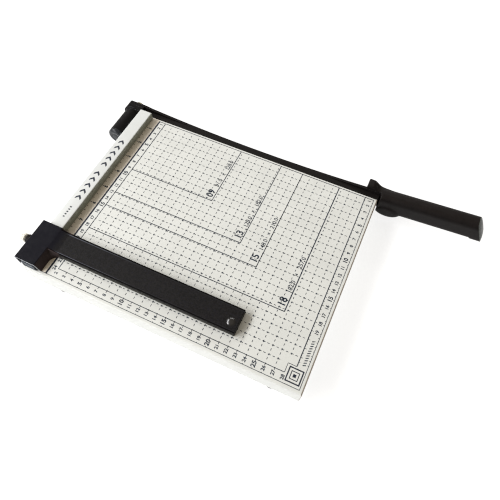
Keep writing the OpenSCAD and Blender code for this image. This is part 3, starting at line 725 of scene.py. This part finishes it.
def small_screws():
    """Fasteners that hold the bed knife and the fence, seen from below."""
    head_r, seat = 3.6, 2.4
    low, high = mm_box("knife_screws")
    count = 5
    step = (high.x - low.x - 2 * head_r) / (count - 1)
    heads = [put(pan_screw(high.y - low.y), "-y",
                 (low.x + head_r + i * step, low.y + seat, (low.z + high.z) / 2)) for i in range(count)]
    piece(join(*heads), "bed_knife_screws", "base", STEEL, "plain_steel", "knife_screws", sharp=40)
    low, high = mm_box("fence_screws")
    heads = [put(pan_screw(high.z - low.z), "-z", ((low.x + high.x) / 2, y, low.z + seat))
             for y in (low.y + head_r, (low.y + high.y) / 2, high.y - head_r)]
    piece(join(*heads), "fence_screw_set", "base", STEEL, "plain_steel", "fence_screws", sharp=40)


# ------------------------------------------------------------------ pivot


def pivot_profile(x1, low, top):
    """Round end about the pivot with a flat top, carried on to the right as far as x1."""
    start = 180 - math.degrees(math.asin((top - PIVOT_Z) / BOSS_R))
    left = arc(PIVOT_X, PIVOT_Z, BOSS_R, start, 265, 40)
    return [(x1, top)] + left + [(x1, low)]


def build_pivot():
    plate_low, plate_high = mm_box("thrust_plate")
    plate = prism(pivot_profile(plate_high.x, plate_low.z, plate_high.z), plate_low.y, plate_high.y, "y")
    piece(plate, "thrust_washer_plate", "base", BLACK, "black_paint", "thrust_plate", bevel=0.35,
          segments=3)

    front, back = BARREL_LOW.y, BARREL_HIGH.y
    flange_front = -9.5
    wall_x, wall_t = BARREL_HIGH.x, 4.8
    flange = prism(pivot_profile(wall_x, BARREL_LOW.z + 7.5, BARREL_HIGH.z), flange_front, back, "y")
    barrel_r, flare_r = 10.8, 1.8
    length = flange_front + 0.5 - front
    flare = [(barrel_r + flare_r - flare_r * math.sin(t), flare_r - flare_r * math.cos(t))
             for t in map(math.radians, (0, 20, 40, 60, 90))]
    barrel = lathe([(0, -1), (barrel_r + flare_r, -1)] + flare
                   + [(barrel_r, length - 0.3), (barrel_r - 0.3, length), (0, length)], 96)
    put(barrel, "-y", (PIVOT_X, flange_front + 0.5, PIVOT_Z))
    lug, web = (prism(outline, front + 2, flange_front + 0.2, "y") for outline in (
        rect(wall_x - wall_t, wall_x, BARREL_LOW.z, PIVOT_Z), rect(PIVOT_X, wall_x, -14.0, -4.0)))
    casting = combine(flange, "UNION", barrel, lug, web)
    piece(casting, "pivot_casting", "base", CAST, "black_paint", "pivot_housing", bevel=0.5, segments=3)

    cap_r, dome, edge = barrel_r, 5.0, 3.0
    cap = lathe([(0, 0), (cap_r - 0.5, 0), (cap_r, 0.5)] + arc(cap_r - edge, dome - edge, edge, 0, 78, 8)
                + [(5.0, dome - 0.08), (4.6, dome - 0.35), (4.2, dome - 0.08), (2.0, dome), (0, dome)], 96)
    piece(put(cap, "-y", (PIVOT_X, front - 0.05, PIVOT_Z)), "pivot_cap", "base", PLUG, "housing_plastic",
          "pivot_end_cap", sharp=40)

    low, high = mm_box("housing_bolts")
    ys = (low.y + 3.9, high.y - 3.9)
    z = (low.z + high.z) / 2
    bolts, nuts = [], []
    nut_low, nut_high = mm_box("housing_nuts")
    for y in ys:
        shank = put(threaded(2.4, high.x - low.x - 3.2), "-z", (0, 0, 0.2))
        bolts.append(put(join(hexagon(7.8, 3.0, both=False), shank), "-x", (low.x + 3.0, y, z)))
        ring = combine(hexagon(7.8, 3.9), "DIFFERENCE", put(rod(2.5, 6, 0.1, 40), "+z", (0, 0, -1)))
        nuts.append(put(ring, "+x", (nut_low.x, y, z)))
    piece(join(*bolts), "housing_bolt_set", "base", BLACK, "black_paint", "housing_bolts", sharp=30)
    piece(join(*nuts), "housing_nut_set", "base", STEEL, "plain_steel", "housing_nuts", sharp=30)

    nut_t = NUT_HIGH.y - NUT_LOW.y
    nut = combine(hexagon(10.0, nut_t, 0.7), "DIFFERENCE", put(rod(3.06, 9, 0.1, 48), "+z", (0, 0, -2)))
    piece(put(nut, "+y", (PIVOT_X, NUT_LOW.y, PIVOT_Z)), "pivot_hex_nut", "blade", BRASS, "nut_brass",
          "pivot_nut", bevel=0.12, sharp=28)
    wash_low, wash_high = mm_box("nut_washer")
    t = wash_high.y - wash_low.y
    washer = ring_lathe([(3.12, 0.1), (3.22, 0), (6.2, 0), (6.4, 0.2), (6.4, t - 0.2), (6.2, t), (3.22, t),
                         (3.12, t - 0.1)])
    put(washer, "+y", (PIVOT_X, wash_low.y, PIVOT_Z))
    piece(washer, "pivot_nut_washer", "blade", STEEL, "plain_steel", "nut_washer", sharp=30)

    bolt_low, bolt_high = mm_box("pivot_bolt")
    head = put(hexagon(12.9, 5.0, 0.6), "-y", (PIVOT_X, bolt_low.y + 5.0, PIVOT_Z))
    shank = put(rod(4.0, 39.0, 0.3), "+y", (PIVOT_X, bolt_low.y + 4.0, PIVOT_Z))
    stud = put(threaded(3.0, bolt_high.y + 1.0, 0.8, 0.35, 5.0), "+y", (PIVOT_X, -1.0, PIVOT_Z))
    piece(join(head, shank, stud), "pivot_bolt_body", "blade", STEEL, "plain_steel", "pivot_bolt", sharp=30)


# ------------------------------------------------------------------ blade

BOW_R = 1810.0
BOW_X = 141.5
BLADE_W = 29.0
BACK_LOW_Z = -2.3
BLADE_END_X = TRAY_HIGH.x - 1
GRIP_TILT = 5.5
GRIP_REF = (366.0, -1.7)


def back_z(x, extra=0.0):
    """Height of the bowed back, or of a line that lies extra below it."""
    return BACK_LOW_Z + BOW_R - math.sqrt((BOW_R + extra) ** 2 - (x - BOW_X) ** 2)


def grip_z(x):
    return GRIP_REF[1] + math.tan(math.radians(GRIP_TILT)) * (x - GRIP_REF[0])


def build_blade():
    """Bowed blade with a ground edge: the outer outline is lifted along the cutting edge."""
    near, far = BLADE_LOW.y, BLADE_HIGH.y
    heel_x, top = -12.0, BLADE_HIGH.z
    bevel_h, land = 5.0, 0.3
    tang_x, tang_half = 352.0, 8.0
    start = 180 - math.degrees(math.asin((top - PIVOT_Z) / BOSS_R))
    boss = arc(PIVOT_X, PIVOT_Z, BOSS_R, start, 270, 36) + [(PIVOT_X + 6, PIVOT_Z - BOSS_R + 0.2)]
    steps = 60
    xs = [heel_x + (BLADE_END_X - heel_x) * i / steps for i in range(steps + 1)]
    edge = [(x, back_z(x, BLADE_W)) for x in xs]
    tang = [(BLADE_END_X, grip_z(BLADE_END_X) - tang_half), (tang_x, grip_z(tang_x) - tang_half),
            (tang_x, grip_z(tang_x) + tang_half), (BLADE_END_X, grip_z(BLADE_END_X) + tang_half)]
    back_start = heel_x + 6
    backs = [BLADE_END_X - (BLADE_END_X - back_start) * i / steps for i in range(steps + 1)]
    neck_x, neck_steps = PIVOT_X + 9, 12
    neck = []
    for i in range(neck_steps):
        t = 1 - i / neck_steps
        x = neck_x + (back_start - neck_x) * t
        neck.append((x, top + (back_z(x) - top) * t * t * (3 - 2 * t)))
    rest = tang + [(x, back_z(x)) for x in backs[:-1]] + neck
    outline = boss + edge + rest
    first, last = len(boss), len(boss) + len(edge) - 1

    def lift(i, amount):
        if not first <= i <= last:
            return 0.0
        return amount * (min((i - first) / 2, 1.0) if i < last else 1.0)

    rings = [[(x, near, z) for x, z in outline],
             [(x, near + (land if first <= i <= last else 1.0), z) for i, (x, z) in enumerate(outline)],
             [(x, far, z + lift(i, bevel_h)) for i, (x, z) in enumerate(outline)]]
    piece(loft(rings), "knife_blade", "blade", BLACK, "black_paint", "blade_arm", bevel=0.14, sharp=25)


# ------------------------------------------------------------------ handle


def rounded(w, h, r, steps=8):
    """Rounded rectangle about the origin."""
    points = []
    for cx, cy, start in ((w / 2 - r, h / 2 - r, 0), (r - w / 2, h / 2 - r, 90),
                          (r - w / 2, r - h / 2, 180), (w / 2 - r, r - h / 2, 270)):
        points += arc(cx, cy, r, start, start + 90, steps)
    return points


def build_handle():
    """Guard, lobe and grip as one moulding: joined, remeshed and relaxed so that they flow together."""
    grip_w, grip_h, grip_r = 19.4, 26.8, 7.0
    grip_y = (BLADE_LOW.y + BLADE_HIGH.y) / 2
    guard_w, guard_x, top = GRIP_HIGH.y - GRIP_LOW.y, GRIP_LOW.x, 9.6
    near_x = TRAY_HIGH.x + 2
    end_x = 421.0
    lean = math.radians(27.5)
    tilt = Matrix.Rotation(-math.radians(GRIP_TILT), 4, "Y")

    def grip(x0, x1, drop=0.0):
        length = (x1 - x0) / math.cos(math.radians(GRIP_TILT))
        body = loft([[(d, y, z) for y, z in rounded(grip_w, grip_h, grip_r)] for d in (0, length)])
        body.data.transform(Matrix.Translation((x0, grip_y, grip_z(x0) - drop)) @ tilt)
        return body

    # guard sections along the blade: distance from its start, top, underside, narrowing, corner radius
    sections = ((0.0, top - 0.3, -21.0, 1.6, 2.6), (0.8, top, -21.6, 0, 3.0), (6.8, top, -22.0, 0, 3.2),
                (8.8, top - 0.8, -22.0, 0, 3.4), (11.2, 7.3, -22.0, 0, 3.8), (13.4, 6.0, -22.0, 0.4, 4.4),
                (16.0, 5.5, -22.0, 1.2, 5.4), (22.0, 6.0, -21.0, 2.4, 6.2),
                (34.0, 7.2, -17.0, guard_w - grip_w, grip_r))
    rings = []
    for x, high, low, narrow, r in sections:
        rings.append([(guard_x + x, grip_y + y, (high + low) / 2 + z)
                      for y, z in rounded(guard_w - narrow, high - low, r)])
    guard = loft(rings)
    rim = 7.0
    lobe_r = 13.5
    disc = [(0, 0), (lobe_r - rim, 0)] + arc(lobe_r - rim, rim, rim, -78, 0, 7)
    disc += arc(lobe_r - rim, guard_w - rim, rim, 0, 78, 7) + [(lobe_r - rim, guard_w), (0, guard_w)]
    lobe = lathe(disc, 72)
    lobe.data.transform(Matrix.Diagonal((1.30, 0.77, 1, 1)))
    combine(guard, "UNION", put(lobe, "+y", (317.8, grip_y - guard_w / 2, -14.4)))
    combine(guard, "DIFFERENCE", prism(rect(0, near_x, -60, 60), -60, 0.05, "y"))
    moulding = combine(guard, "UNION", grip(near_x + 0.5, end_x + 20), grip(end_x - 7, end_x + 20, 1.6))
    skin = moulding.modifiers.new("flow", "REMESH")
    skin.mode = "VOXEL"
    skin.voxel_size = 0.8
    soften = moulding.modifiers.new("relax", "SMOOTH")
    soften.factor = 0.5
    soften.iterations = 6
    baked(moulding)

    at_end = Matrix.Translation((end_x, grip_y, grip_z(end_x))) @ Matrix.Rotation(-lean, 4, "Y")
    end = prism(rect(0, 60, -60, 60), -40, 40, "y")
    end.data.transform(at_end)
    clear = 0.15
    xs = [guard_x - 2 + (BLADE_END_X + clear - guard_x + 2) * i / 6 for i in range(7)]
    socket = [(x, back_z(x, BLADE_W) - clear) for x in xs]
    socket += [(x, back_z(x) + clear) for x in reversed(xs)]
    slot = prism(socket, -2.0, BLADE_HIGH.y + 0.05, "y")
    combine(moulding, "DIFFERENCE", end, slot)
    screw_low, screw_high = mm_box("handle_screws")
    screw_xs = (329.0, 345.0)
    for x in screw_xs:
        seat = put(rod(3.9, 12, 0.1, 48), "+y", (x, screw_high.y - 2.35, grip_z(x)))
        combine(moulding, "DIFFERENCE", seat)
    piece(moulding, "handle_moulding", "blade", GRIP, "grip_plastic", "handle_grip", sharp=40)
    screws = [put(pan_screw(screw_high.y - screw_low.y), "+y", (x, screw_high.y - 2.3, grip_z(x)))
              for x in screw_xs]
    piece(join(*screws), "handle_screw_set", "blade", STEEL, "plain_steel", "handle_screws", sharp=40)

    # the end cap: the leaning cut of the grip's section, crowned like a lens
    stretch = 1 / math.cos(lean - math.radians(GRIP_TILT))
    face = [(y, z * stretch) for y, z in rounded(grip_w - 0.2, grip_h - 0.2, grip_r, 10)]
    bulge, rim = 2.6, 0.5
    rings = [[(height, y, z) for y, z in face] for height in (0.05, rim)]
    for i in range(1, 9):
        s = 1 - i / 8.6
        rings.append([(rim + (bulge - rim) * (1 - s ** 2.2), y * s, z * s) for y, z in face])
    cap = loft(rings)
    cap.data.transform(at_end)
    piece(cap, "handle_lens", "blade", LENS, "cap_plastic", "handle_end_cap", sharp=50)


# ------------------------------------------------------------------ back stop


def stop_section(inset):
    """Outline of the head's sheet, moved inwards by the inset: left wall, top, sloping skirt."""
    x0, low, top = STOP_LOW.x, STOP_LOW.z, STOP_HIGH.z
    bend_x, skirt_x, skirt_low = 1.2, 5.0, 0.3
    slope = (skirt_x - bend_x) / (top - skirt_low)
    run = inset * math.sqrt(1 + slope * slope)
    r = max(1.9 - inset, 0.4)
    left, roof = x0 + inset, top - inset
    right = bend_x + slope * inset - run
    points = [(left, low - inset), *arc(left + r, roof - r, r, 180, 90, 12)]
    points += [(right - 0.7, roof), (right - 0.2, roof - 0.18), (right + 0.25, roof - 0.75)]
    points += [(skirt_x - run + slope * inset, skirt_low - inset)]
    return points


def build_stop():
    """Head and arm of folded sheet, with rolled edges and a swept corner between them."""
    thick = 1.5
    front, back = STOP_LOW.y, STOP_HIGH.y
    arm_front, top = -228.5, 9.8
    tip, low = STOP_HIGH.x, 0.3
    head_top = STOP_HIGH.z

    def arm_ring(x, roof, r, inset=0.0, drop=0.0):
        y0, y1, far_r = arm_front + inset, back - inset, r * 2
        points = [(y0, low)] + arc(y0 + r, roof - drop - r, r, 180, 90, 12)
        points += arc(y1 - far_r, roof - drop - far_r, far_r, 90, 0, 12) + [(y1, low)]
        return [(x, y, z) for y, z in points]

    head = prism(stop_section(0) + [(STOP_LOW.x + 8, STOP_LOW.z)], front, back, "y")
    rings = [arm_ring(0.0, head_top - 0.05, 1.9), arm_ring(1.2, head_top - 0.05, 1.9),
             arm_ring(11.6, top + 0.04, 2.1), arm_ring(12.6, top, 2.1), arm_ring(120.0, top, 2.1)]
    r = 0.9
    for i in range(9):
        a = math.radians(90 * i / 8)
        rings.append(arm_ring(tip - r * (1 - math.sin(a)), top, 2.0, r * (1 - math.cos(a)) * 0.5,
                              r * (1 - math.cos(a))))
    arm = loft(rings)

    swept = []
    for i in range(10):
        z = low + (top - 0.5 - low) * i / 9
        rise = max(z - 5.0, 0.0) / (top - 5.5)
        radius = 10.0 - 7.0 * rise ** 1.6
        y_side = arm_front + 0.05 + 2.6 * rise ** 3
        x_side = 5.0 - 0.325 * (z - low) - 0.1
        curve = arc(x_side + radius, y_side - radius, radius, 180, 90, 18)
        swept.append([(x_side - 1.0, y_side + 2.0, z), (x_side - 1.0, y_side - radius, z)]
                     + [(x, y, z) for x, y in curve] + [(x_side + radius, y_side + 2.0, z)])
    combine(head, "UNION", arm, loft(swept))

    hollow = prism(stop_section(thick) + [(STOP_LOW.x + thick, -30)], front - 5, back + 5, "y")
    channel = prism(rect(arm_front + thick, back - thick, -3, top - thick), 7.0, tip - thick, "x")
    nut_low, nut_high = mm_box("clamp_nut")
    y, z = (nut_low.y + nut_high.y) / 2, (nut_low.z + nut_high.z) / 2
    hole = put(rod(2.8, 6, 0.1, 40), "+x", (STOP_LOW.x - 2, y, z))
    combine(head, "DIFFERENCE", hollow, channel, hole)
    piece(head, "stop_body", "stop_slide", STOP, "stop_paint", "back_stop", bevel=0.28, sharp=45,
          crease=8.5)
    head.data.materials.append(CUT_EDGE)
    end_y = ZERO.y + (front + 0.2) * MM
    for face in head.data.polygons:
        if face.normal.y < -0.9 and face.center.y < end_y:
            face.material_index = 1
            face.material_index = 1

    low_b, high_b = mm_box("arm_button")
    r = (high_b.x - low_b.x) / 2
    dome_h = high_b.z - top
    ball = (r * r + dome_h * dome_h) / (2 * dome_h)
    spread = math.degrees(math.asin(r / ball))
    crown = arc(0, dome_h - ball, ball, 90 - spread, 90, 14)[:-1]
    button = lathe([(0, 0.03)] + [(x, max(z, 0.03)) for x, z in crown] + [(0, dome_h)], 64)
    put(button, "+z", ((low_b.x + high_b.x) / 2, (low_b.y + high_b.y) / 2, top))
    piece(button, "stop_rivet", "stop_slide", GLOSS, "stop_paint", "arm_button", sharp=50)

    boss_r = (nut_high.y - nut_low.y) / 2
    t = nut_high.x - nut_low.x
    boss = ring_lathe([(2.6, 0.3), (2.9, 0), (boss_r - 0.9, 0), (boss_r, 0.9), (boss_r, t - 1.6),
                       (boss_r - 0.45, t - 1.4), (boss_r - 0.45, t - 0.9), (boss_r, t - 0.7), (boss_r, t),
                       (2.6, t)], 64)
    put(boss, "+x", (nut_low.x, y, z))
    piece(boss, "clamp_boss", "stop_slide", BLACK, "stop_paint", "clamp_nut", sharp=40)

    screw_low, screw_high = mm_box("thumb_screw")
    knob_r = (screw_high.y - screw_low.y) / 2
    knob_t = nut_low.x - 1.3 - screw_low.x
    teeth = 3

    def knurl(i, radius, height):
        return radius - (0.35 if i % teeth == 0 else 0.0) if radius > knob_r - 0.5 else radius

    knob = lathe([(0, 0.5), (2.6, 0.5), (3.0, 0), (knob_r - 0.8, 0), (knob_r, 0.8), (knob_r, knob_t - 0.8),
                  (knob_r - 0.8, knob_t), (0, knob_t)], 40 * teeth, knurl)
    put(knob, "+x", (screw_low.x, y, z))
    pin_len = 1.9
    shank = put(threaded(2.45, screw_high.x - pin_len - screw_low.x - 1, 0.8, 0.4, knob_t), "+x",
                (screw_low.x + 1, y, z))
    pin = put(rod(1.45, pin_len + 1, 0.3, 32), "+x", (screw_high.x - pin_len - 1, y, z))
    piece(join(knob, shank, pin), "clamp_thumb_screw", "clamp_screw", KNOB, "screw_brass",
          "thumb_screw", sharp=25)

    shoe_low, shoe_high = mm_box("pressure_shoe")
    r, t = (shoe_high.y - shoe_low.y) / 2, shoe_high.x - shoe_low.x
    pad = lathe([(0, 2.0), (1.52, 2.0), (1.52, 0.2), (1.7, 0), (r - 0.3, 0), (r, 0.3), (r, t - 0.3),
                 (r - 0.3, t), (0, t)], 48)
    put(pad, "+x", (shoe_low.x, y, z))
    piece(pad, "clamp_pad", "shoe", KNOB, "screw_brass", "pressure_shoe", sharp=35)


# ------------------------------------------------------------------ printing

INK_LOW, INK_HIGH = -0.02, 0.05


class Print:
    """Ink laid on the board top as thin closed blocks. Depth is the distance from the cutting plane."""

    def __init__(self, name, material, base=0.0):
        self.name, self.material, self.base = name, material, base
        self.bm = bmesh.new()

    def block(self, x0, x1, d0, d1):
        low, high = self.base + INK_LOW, self.base + INK_HIGH
        v = [self.bm.verts.new((x, -d, z)) for z in (low, high) for x, d in rect(x0, x1, d0, d1)]
        for face in ((0, 1, 2, 3), (4, 5, 6, 7), (0, 1, 5, 4), (1, 2, 6, 5), (2, 3, 7, 6), (3, 0, 4, 7)):
            self.bm.faces.new([v[i] for i in face])

    def shape(self, outline):
        """A flat outline of (x, depth) points."""
        rings = [[self.bm.verts.new((x, -d, self.base + z)) for x, d in outline]
                 for z in (INK_LOW, INK_HIGH)]
        count = len(outline)
        for ring in rings:
            self.bm.faces.new(ring)
        for j in range(count):
            k = (j + 1) % count
            self.bm.faces.new((rings[0][j], rings[0][k], rings[1][k], rings[1][j]))

    def across(self, x0, x1, depth, w):
        """A line along x."""
        self.block(x0, x1, depth - w / 2, depth + w / 2)

    def along(self, x, d0, d1, w):
        """A line away from the cutting plane."""
        self.block(x - w / 2, x + w / 2, d0, d1)

    def text(self, words, x, depth, size, bold=0.0, align="CENTER", squeeze=1.0):
        """Figures that read towards the blade, with their tops towards the fence."""
        curve = bpy.data.curves.new("figures", "FONT")
        curve.body = words
        curve.size = size
        curve.offset = bold
        curve.extrude = (INK_HIGH - INK_LOW) / 2
        curve.align_x = align
        curve.align_y = "CENTER"
        curve.resolution_u = 3
        obj = bpy.data.objects.new("figures", curve)
        bpy.context.scene.collection.objects.link(obj)
        bpy.context.view_layer.update()
        graph = bpy.context.evaluated_depsgraph_get()
        mesh = bpy.data.meshes.new_from_object(obj.evaluated_get(graph), depsgraph=graph)
        mesh.transform(Matrix.Translation((x, -depth, self.base + (INK_HIGH + INK_LOW) / 2))
                       @ Matrix.Rotation(math.radians(90), 4, "Z") @ Matrix.Diagonal((squeeze, 1, 1, 1)))
        self.bm.from_mesh(mesh)
        bpy.data.objects.remove(obj)
        bpy.data.meshes.remove(mesh)

    def done(self):
        bmesh.ops.remove_doubles(self.bm, verts=self.bm.verts, dist=0.002)
        piece(raw(self.bm), self.name, "base", self.material, "black_paint", sharp=30)


CM = 10.0
FRAMES = ((127.1, 91.9, "09", "91.0   ×   128.0"), (181.2, 128.9, "13", "128.0   ×   182.0"),
          (209.4, 148.8, "15", "148.0   ×   210.0"), (256.5, 182.9, "18", "182.0   ×   257.0"))
TOP_D, FRONT_D, RIGHT_X = 10.0, 249.9, 299.3
INNER_X, INNER_D, INNER_RIGHT_X = 19.2, 239.9, 289.0


def print_lines():
    p = Print("print_lines", LINE_INK)
    w = 0.6
    p.across(9.4, RIGHT_X, TOP_D, w * 1.5)
    p.across(0.6, RIGHT_X, FRONT_D, w)
    p.along(RIGHT_X, TOP_D, FRONT_D, w)
    p.along(INNER_X, TOP_D, INNER_D, w * 1.5)
    p.across(INNER_X, 280, INNER_D, w * 1.25)
    p.along(280, 230, INNER_D, w)
    p.across(280, INNER_RIGHT_X, 230, w)
    p.along(INNER_RIGHT_X, TOP_D, 230, w * 1.7)
    for x, d, _, _ in FRAMES:
        p.along(x, TOP_D, d, w * (2.0 if x > 250 else 1.6))
        p.across(INNER_X, x, d, w * 1.6)
    p.done()
    p = Print("print_thick_line", THICK_INK)
    p.along(10.4, TOP_D + 0.3, FRONT_D + 0.2, 2.0)
    p.done()


def print_ticks():
    p = Print("print_ticks", LINE_INK)
    w = 0.65
    for i in range(2, 24):
        p.across(INNER_X - 0.9, INNER_X + 0.9, i * CM, w)
    for i in range(3, 28):
        p.along(i * CM, INNER_D - 0.8, INNER_D + 2.2, w)
        p.along(i * CM, FRONT_D - 0.9, FRONT_D, w)
    for i in range(3, 48):
        half = i * CM / 2
        if half < 230:
            p.across(INNER_RIGHT_X, INNER_RIGHT_X + (2.2 if i % 2 == 0 else 1.4), half, w * 0.8)
            p.across(RIGHT_X - 1.2, RIGHT_X, half, w * 0.8)
    quarter = 25.4 / 4
    for i in range(2, 40):
        depth = i * quarter
        if depth < FRONT_D - 2:
            p.across(0.3, 2.9 if i % 4 == 0 else 2.3 if i % 2 == 0 else 1.6, depth, w)
    p.done()


def print_grid():
    """A dash through every whole-centimetre crossing, longer to its right, and one half way between."""
    p = Print("print_grid", LINE_INK)
    w, heavy, cross, right, middle, dash = 0.64, 0.74, 1.1, 2.1, 5.3, 1.25
    for i in range(3, 29):
        x = i * CM - 0.5
        if x < 278:
            p.along(x, INNER_D - middle - dash, INNER_D - middle + dash, w)
        for j in range(2, 24):
            d = j * CM + 0.3
            if i == 28 and j < 23:
                p.across(x + middle - dash, x + middle + dash, d, w)
            if x > 279 and d > 229:
                continue
            p.across(x - cross, x + right, d, heavy)
            p.along(x, d - cross, d - heavy / 2 - 0.01, heavy)
            p.along(x, d + heavy / 2 + 0.01, d + cross, heavy)
            p.across(x + middle - CM - dash, x + middle - CM + dash, d, w)
            p.along(x, d - middle - dash, d - middle + dash, w)
    p.done()


def print_figures():
    p = Print("print_scale_figures", LINE_INK)

    def figure(number, x, depth):
        big = number % 5 == 0
        p.text(str(number), x, depth, 6.6 if big else 5.1, 0.23 if big else 0.18)

    for i in range(1, 25):
        figure(i, 15.2, max(i * CM + 0.4, 13.6))
    for i in range(2, 29):
        figure(i, i * CM, FRONT_D - 4.9)
    for i in range(1, 20):
        figure(i, 295.0, max(i * CM + 0.2, 13.4))
    for i in range(1, 10):
        p.text(str(i), 5.7, i * 25.4, 5.2, 0.30)
    p.done()
    p = Print("print_size_figures", LINE_INK)
    for x, d, bold, thin in FRAMES:
        p.text(bold, x - 5.6, d - 4.0, 11.6, 0.28, "LEFT", 0.92)
        p.text(thin, x - 3.9, d - 21.0, 6.9, 0.10, "LEFT")
    p.done()


def print_marks():
    """Plain devices: nested register squares in the corner, and chevrons along the fence."""
    p = Print("print_register_square", THICK_INK)
    x, d = 290.2, 239.4
    for half, w in ((7.0, 1.3), (3.9, 0.8)):
        for s in (-1, 1):
            p.across(x - half - w / 2, x + half + w / 2, d + s * half, w)
            p.along(x + s * half, d - half + w / 2 + 0.01, d + half - w / 2 - 0.01, w)
    p.block(x - 1.6, x + 1.6, d - 1.6, d + 1.6)
    p.done()
    p = Print("print_hatching", LINE_INK)
    for i in range(11):
        d = 199.0 + i * 2.6
        p.shape([(293.6, d + 1.2), (296.6, d), (296.6, d + 1.1), (293.6, d + 2.3)])
    p.done()
    p = Print("fence_chevrons", THICK_INK, FENCE_HIGH.z)
    centre = (FENCE_LOW.x + FENCE_HIGH.x) / 2
    reach, sweep, width = 3.5, 3.6, 3.0
    for i in range(10):
        d = 64.0 + i * 9.4 + (6.0 if i > 4 else 0.0)
        tips = [(centre - reach, d + sweep), (centre, d), (centre + reach, d + sweep)]
        p.shape(tips + [(x, depth + width) for x, depth in reversed(tips)])
    for i in range(5):
        d = 172.0 + i * 3.4
        p.block(centre - 1.1, centre + 1.1, d, d + 1.5)
    p.done()


# ------------------------------------------------------------------ nodes kept as the CAD made them

KEPT = {"fence_blocks": STEEL, "plate_rivets": BLACK, "pivot_spring": STEEL, "spring_washer": STEEL}


def dress_kept_nodes():
    for node, material in KEPT.items():
        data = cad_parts[node].data
        data.materials.clear()
        data.materials.append(material)


# ------------------------------------------------------------------ studio


def add_camera():
    """The photographed view: from over the user's right shoulder, steeply down, with a slight roll."""
    eye = ZERO + Vector((284.3, -351.1, 433.8)) * MM
    elevation, azimuth, roll = (math.radians(a) for a in (61.43, -22.28, 2.52))
    ahead = Vector((math.sin(azimuth) * math.cos(elevation),
                    math.cos(azimuth) * math.cos(elevation), -math.sin(elevation)))
    level = Vector((math.cos(azimuth), -math.sin(azimuth), 0))
    upright = level.cross(ahead)
    right = level * math.cos(roll) + upright * math.sin(roll)
    up = upright * math.cos(roll) - level * math.sin(roll)
    data = bpy.data.cameras.new("camera")
    data.sensor_width = 36.0
    data.lens = 32.31
    data.clip_start = 0.01
    camera = bpy.data.objects.new("camera", data)
    camera.matrix_world = Matrix.Translation(eye) @ Matrix((right, up, -ahead)).transposed().to_4x4()
    bpy.context.scene.collection.objects.link(camera)
    bpy.context.scene.camera = camera


def area_light(name, place, target, size, power, colour=(1, 1, 1)):
    data = bpy.data.lights.new(name, "AREA")
    data.shape = "RECTANGLE"
    data.size, data.size_y = size
    data.energy = power
    data.color = colour
    light = bpy.data.objects.new(name, data)
    direction = Vector(target) - Vector(place)
    light.rotation_euler = direction.to_track_quat("-Z", "Y").to_euler()
    light.location = place
    bpy.context.scene.collection.objects.link(light)


def add_studio():
    """A pale floor, a warm dim surround seen as white, and three soft lights."""
    middle = (cad_low + cad_high) / 2
    reach = 6.0
    bm = bmesh.new()
    bm.faces.new([bm.verts.new((x, y, 0)) for x, y in rect(-reach, reach, -reach, reach)])
    floor = loose(bm)
    floor.name = floor.data.name = "floor"
    n = Nodes("floor_paper")
    tone = n.blend(n.remap(n.noise(60, 3), 0.3, 0.7, 0, 1), (0.35,) * 3, (0.37,) * 3)
    n.set(Base_Color=tone, Roughness=0.9, Emission_Color=(1.0, 1.0, 1.0), Emission_Strength=0.80)
    floor.data.materials.append(n.material)

    world = bpy.data.worlds.new("studio")
    world.use_nodes = True
    tree = world.node_tree
    near, out = tree.nodes["Background"], tree.nodes["World Output"]
    coords, split, height, far, seen, mix = (tree.nodes.new("ShaderNode" + kind) for kind in (
        "TexCoord", "SeparateXYZ", "MapRange", "Background", "LightPath", "MixShader"))
    for source, target in (
            (coords.outputs["Generated"], split.inputs[0]), (split.outputs["Z"], height.inputs["Value"]),
            (height.outputs[0], near.inputs["Strength"]), (seen.outputs["Is Camera Ray"], mix.inputs[0]),
            (near.outputs[0], mix.inputs[1]), (far.outputs[0], mix.inputs[2]),
            (mix.outputs[0], out.inputs["Surface"])):
        tree.links.new(source, target)
    for name, value in (("From Min", 0.1), ("From Max", 1.0), ("To Min", 0.06), ("To Max", 0.40)):
        height.inputs[name].default_value = value
    near.inputs["Color"].default_value = (1, 0.885, 0.70, 1)
    bpy.context.scene.world = world
    x, y = middle.x, middle.y
    target = (x - 0.08, y, 0.03)
    area_light("key", (x - 3.4, y - 0.9, 3.3), target, (6.0, 0.85), 226.0, (0.99, 0.995, 1.0))
    area_light("front", (x - 1.6, y - 2.6, 1.35), target, (1.5, 1.0), 32.0)
    area_light("rim", (x - 0.7, y + 2.9, 1.75), target, (2.4, 0.3), 20.0)
    bpy.context.scene.view_settings.view_transform = "Standard"
    bpy.context.scene.cycles.filter_width = 1.2


build_board()
build_rails()
build_feet()
build_fence()
build_bed_knife()
small_screws()
build_pivot()
build_blade()
build_handle()
build_stop()
print_lines()
print_ticks()
print_grid()
print_figures()
print_marks()
dress_kept_nodes()
add_camera()
add_studio()
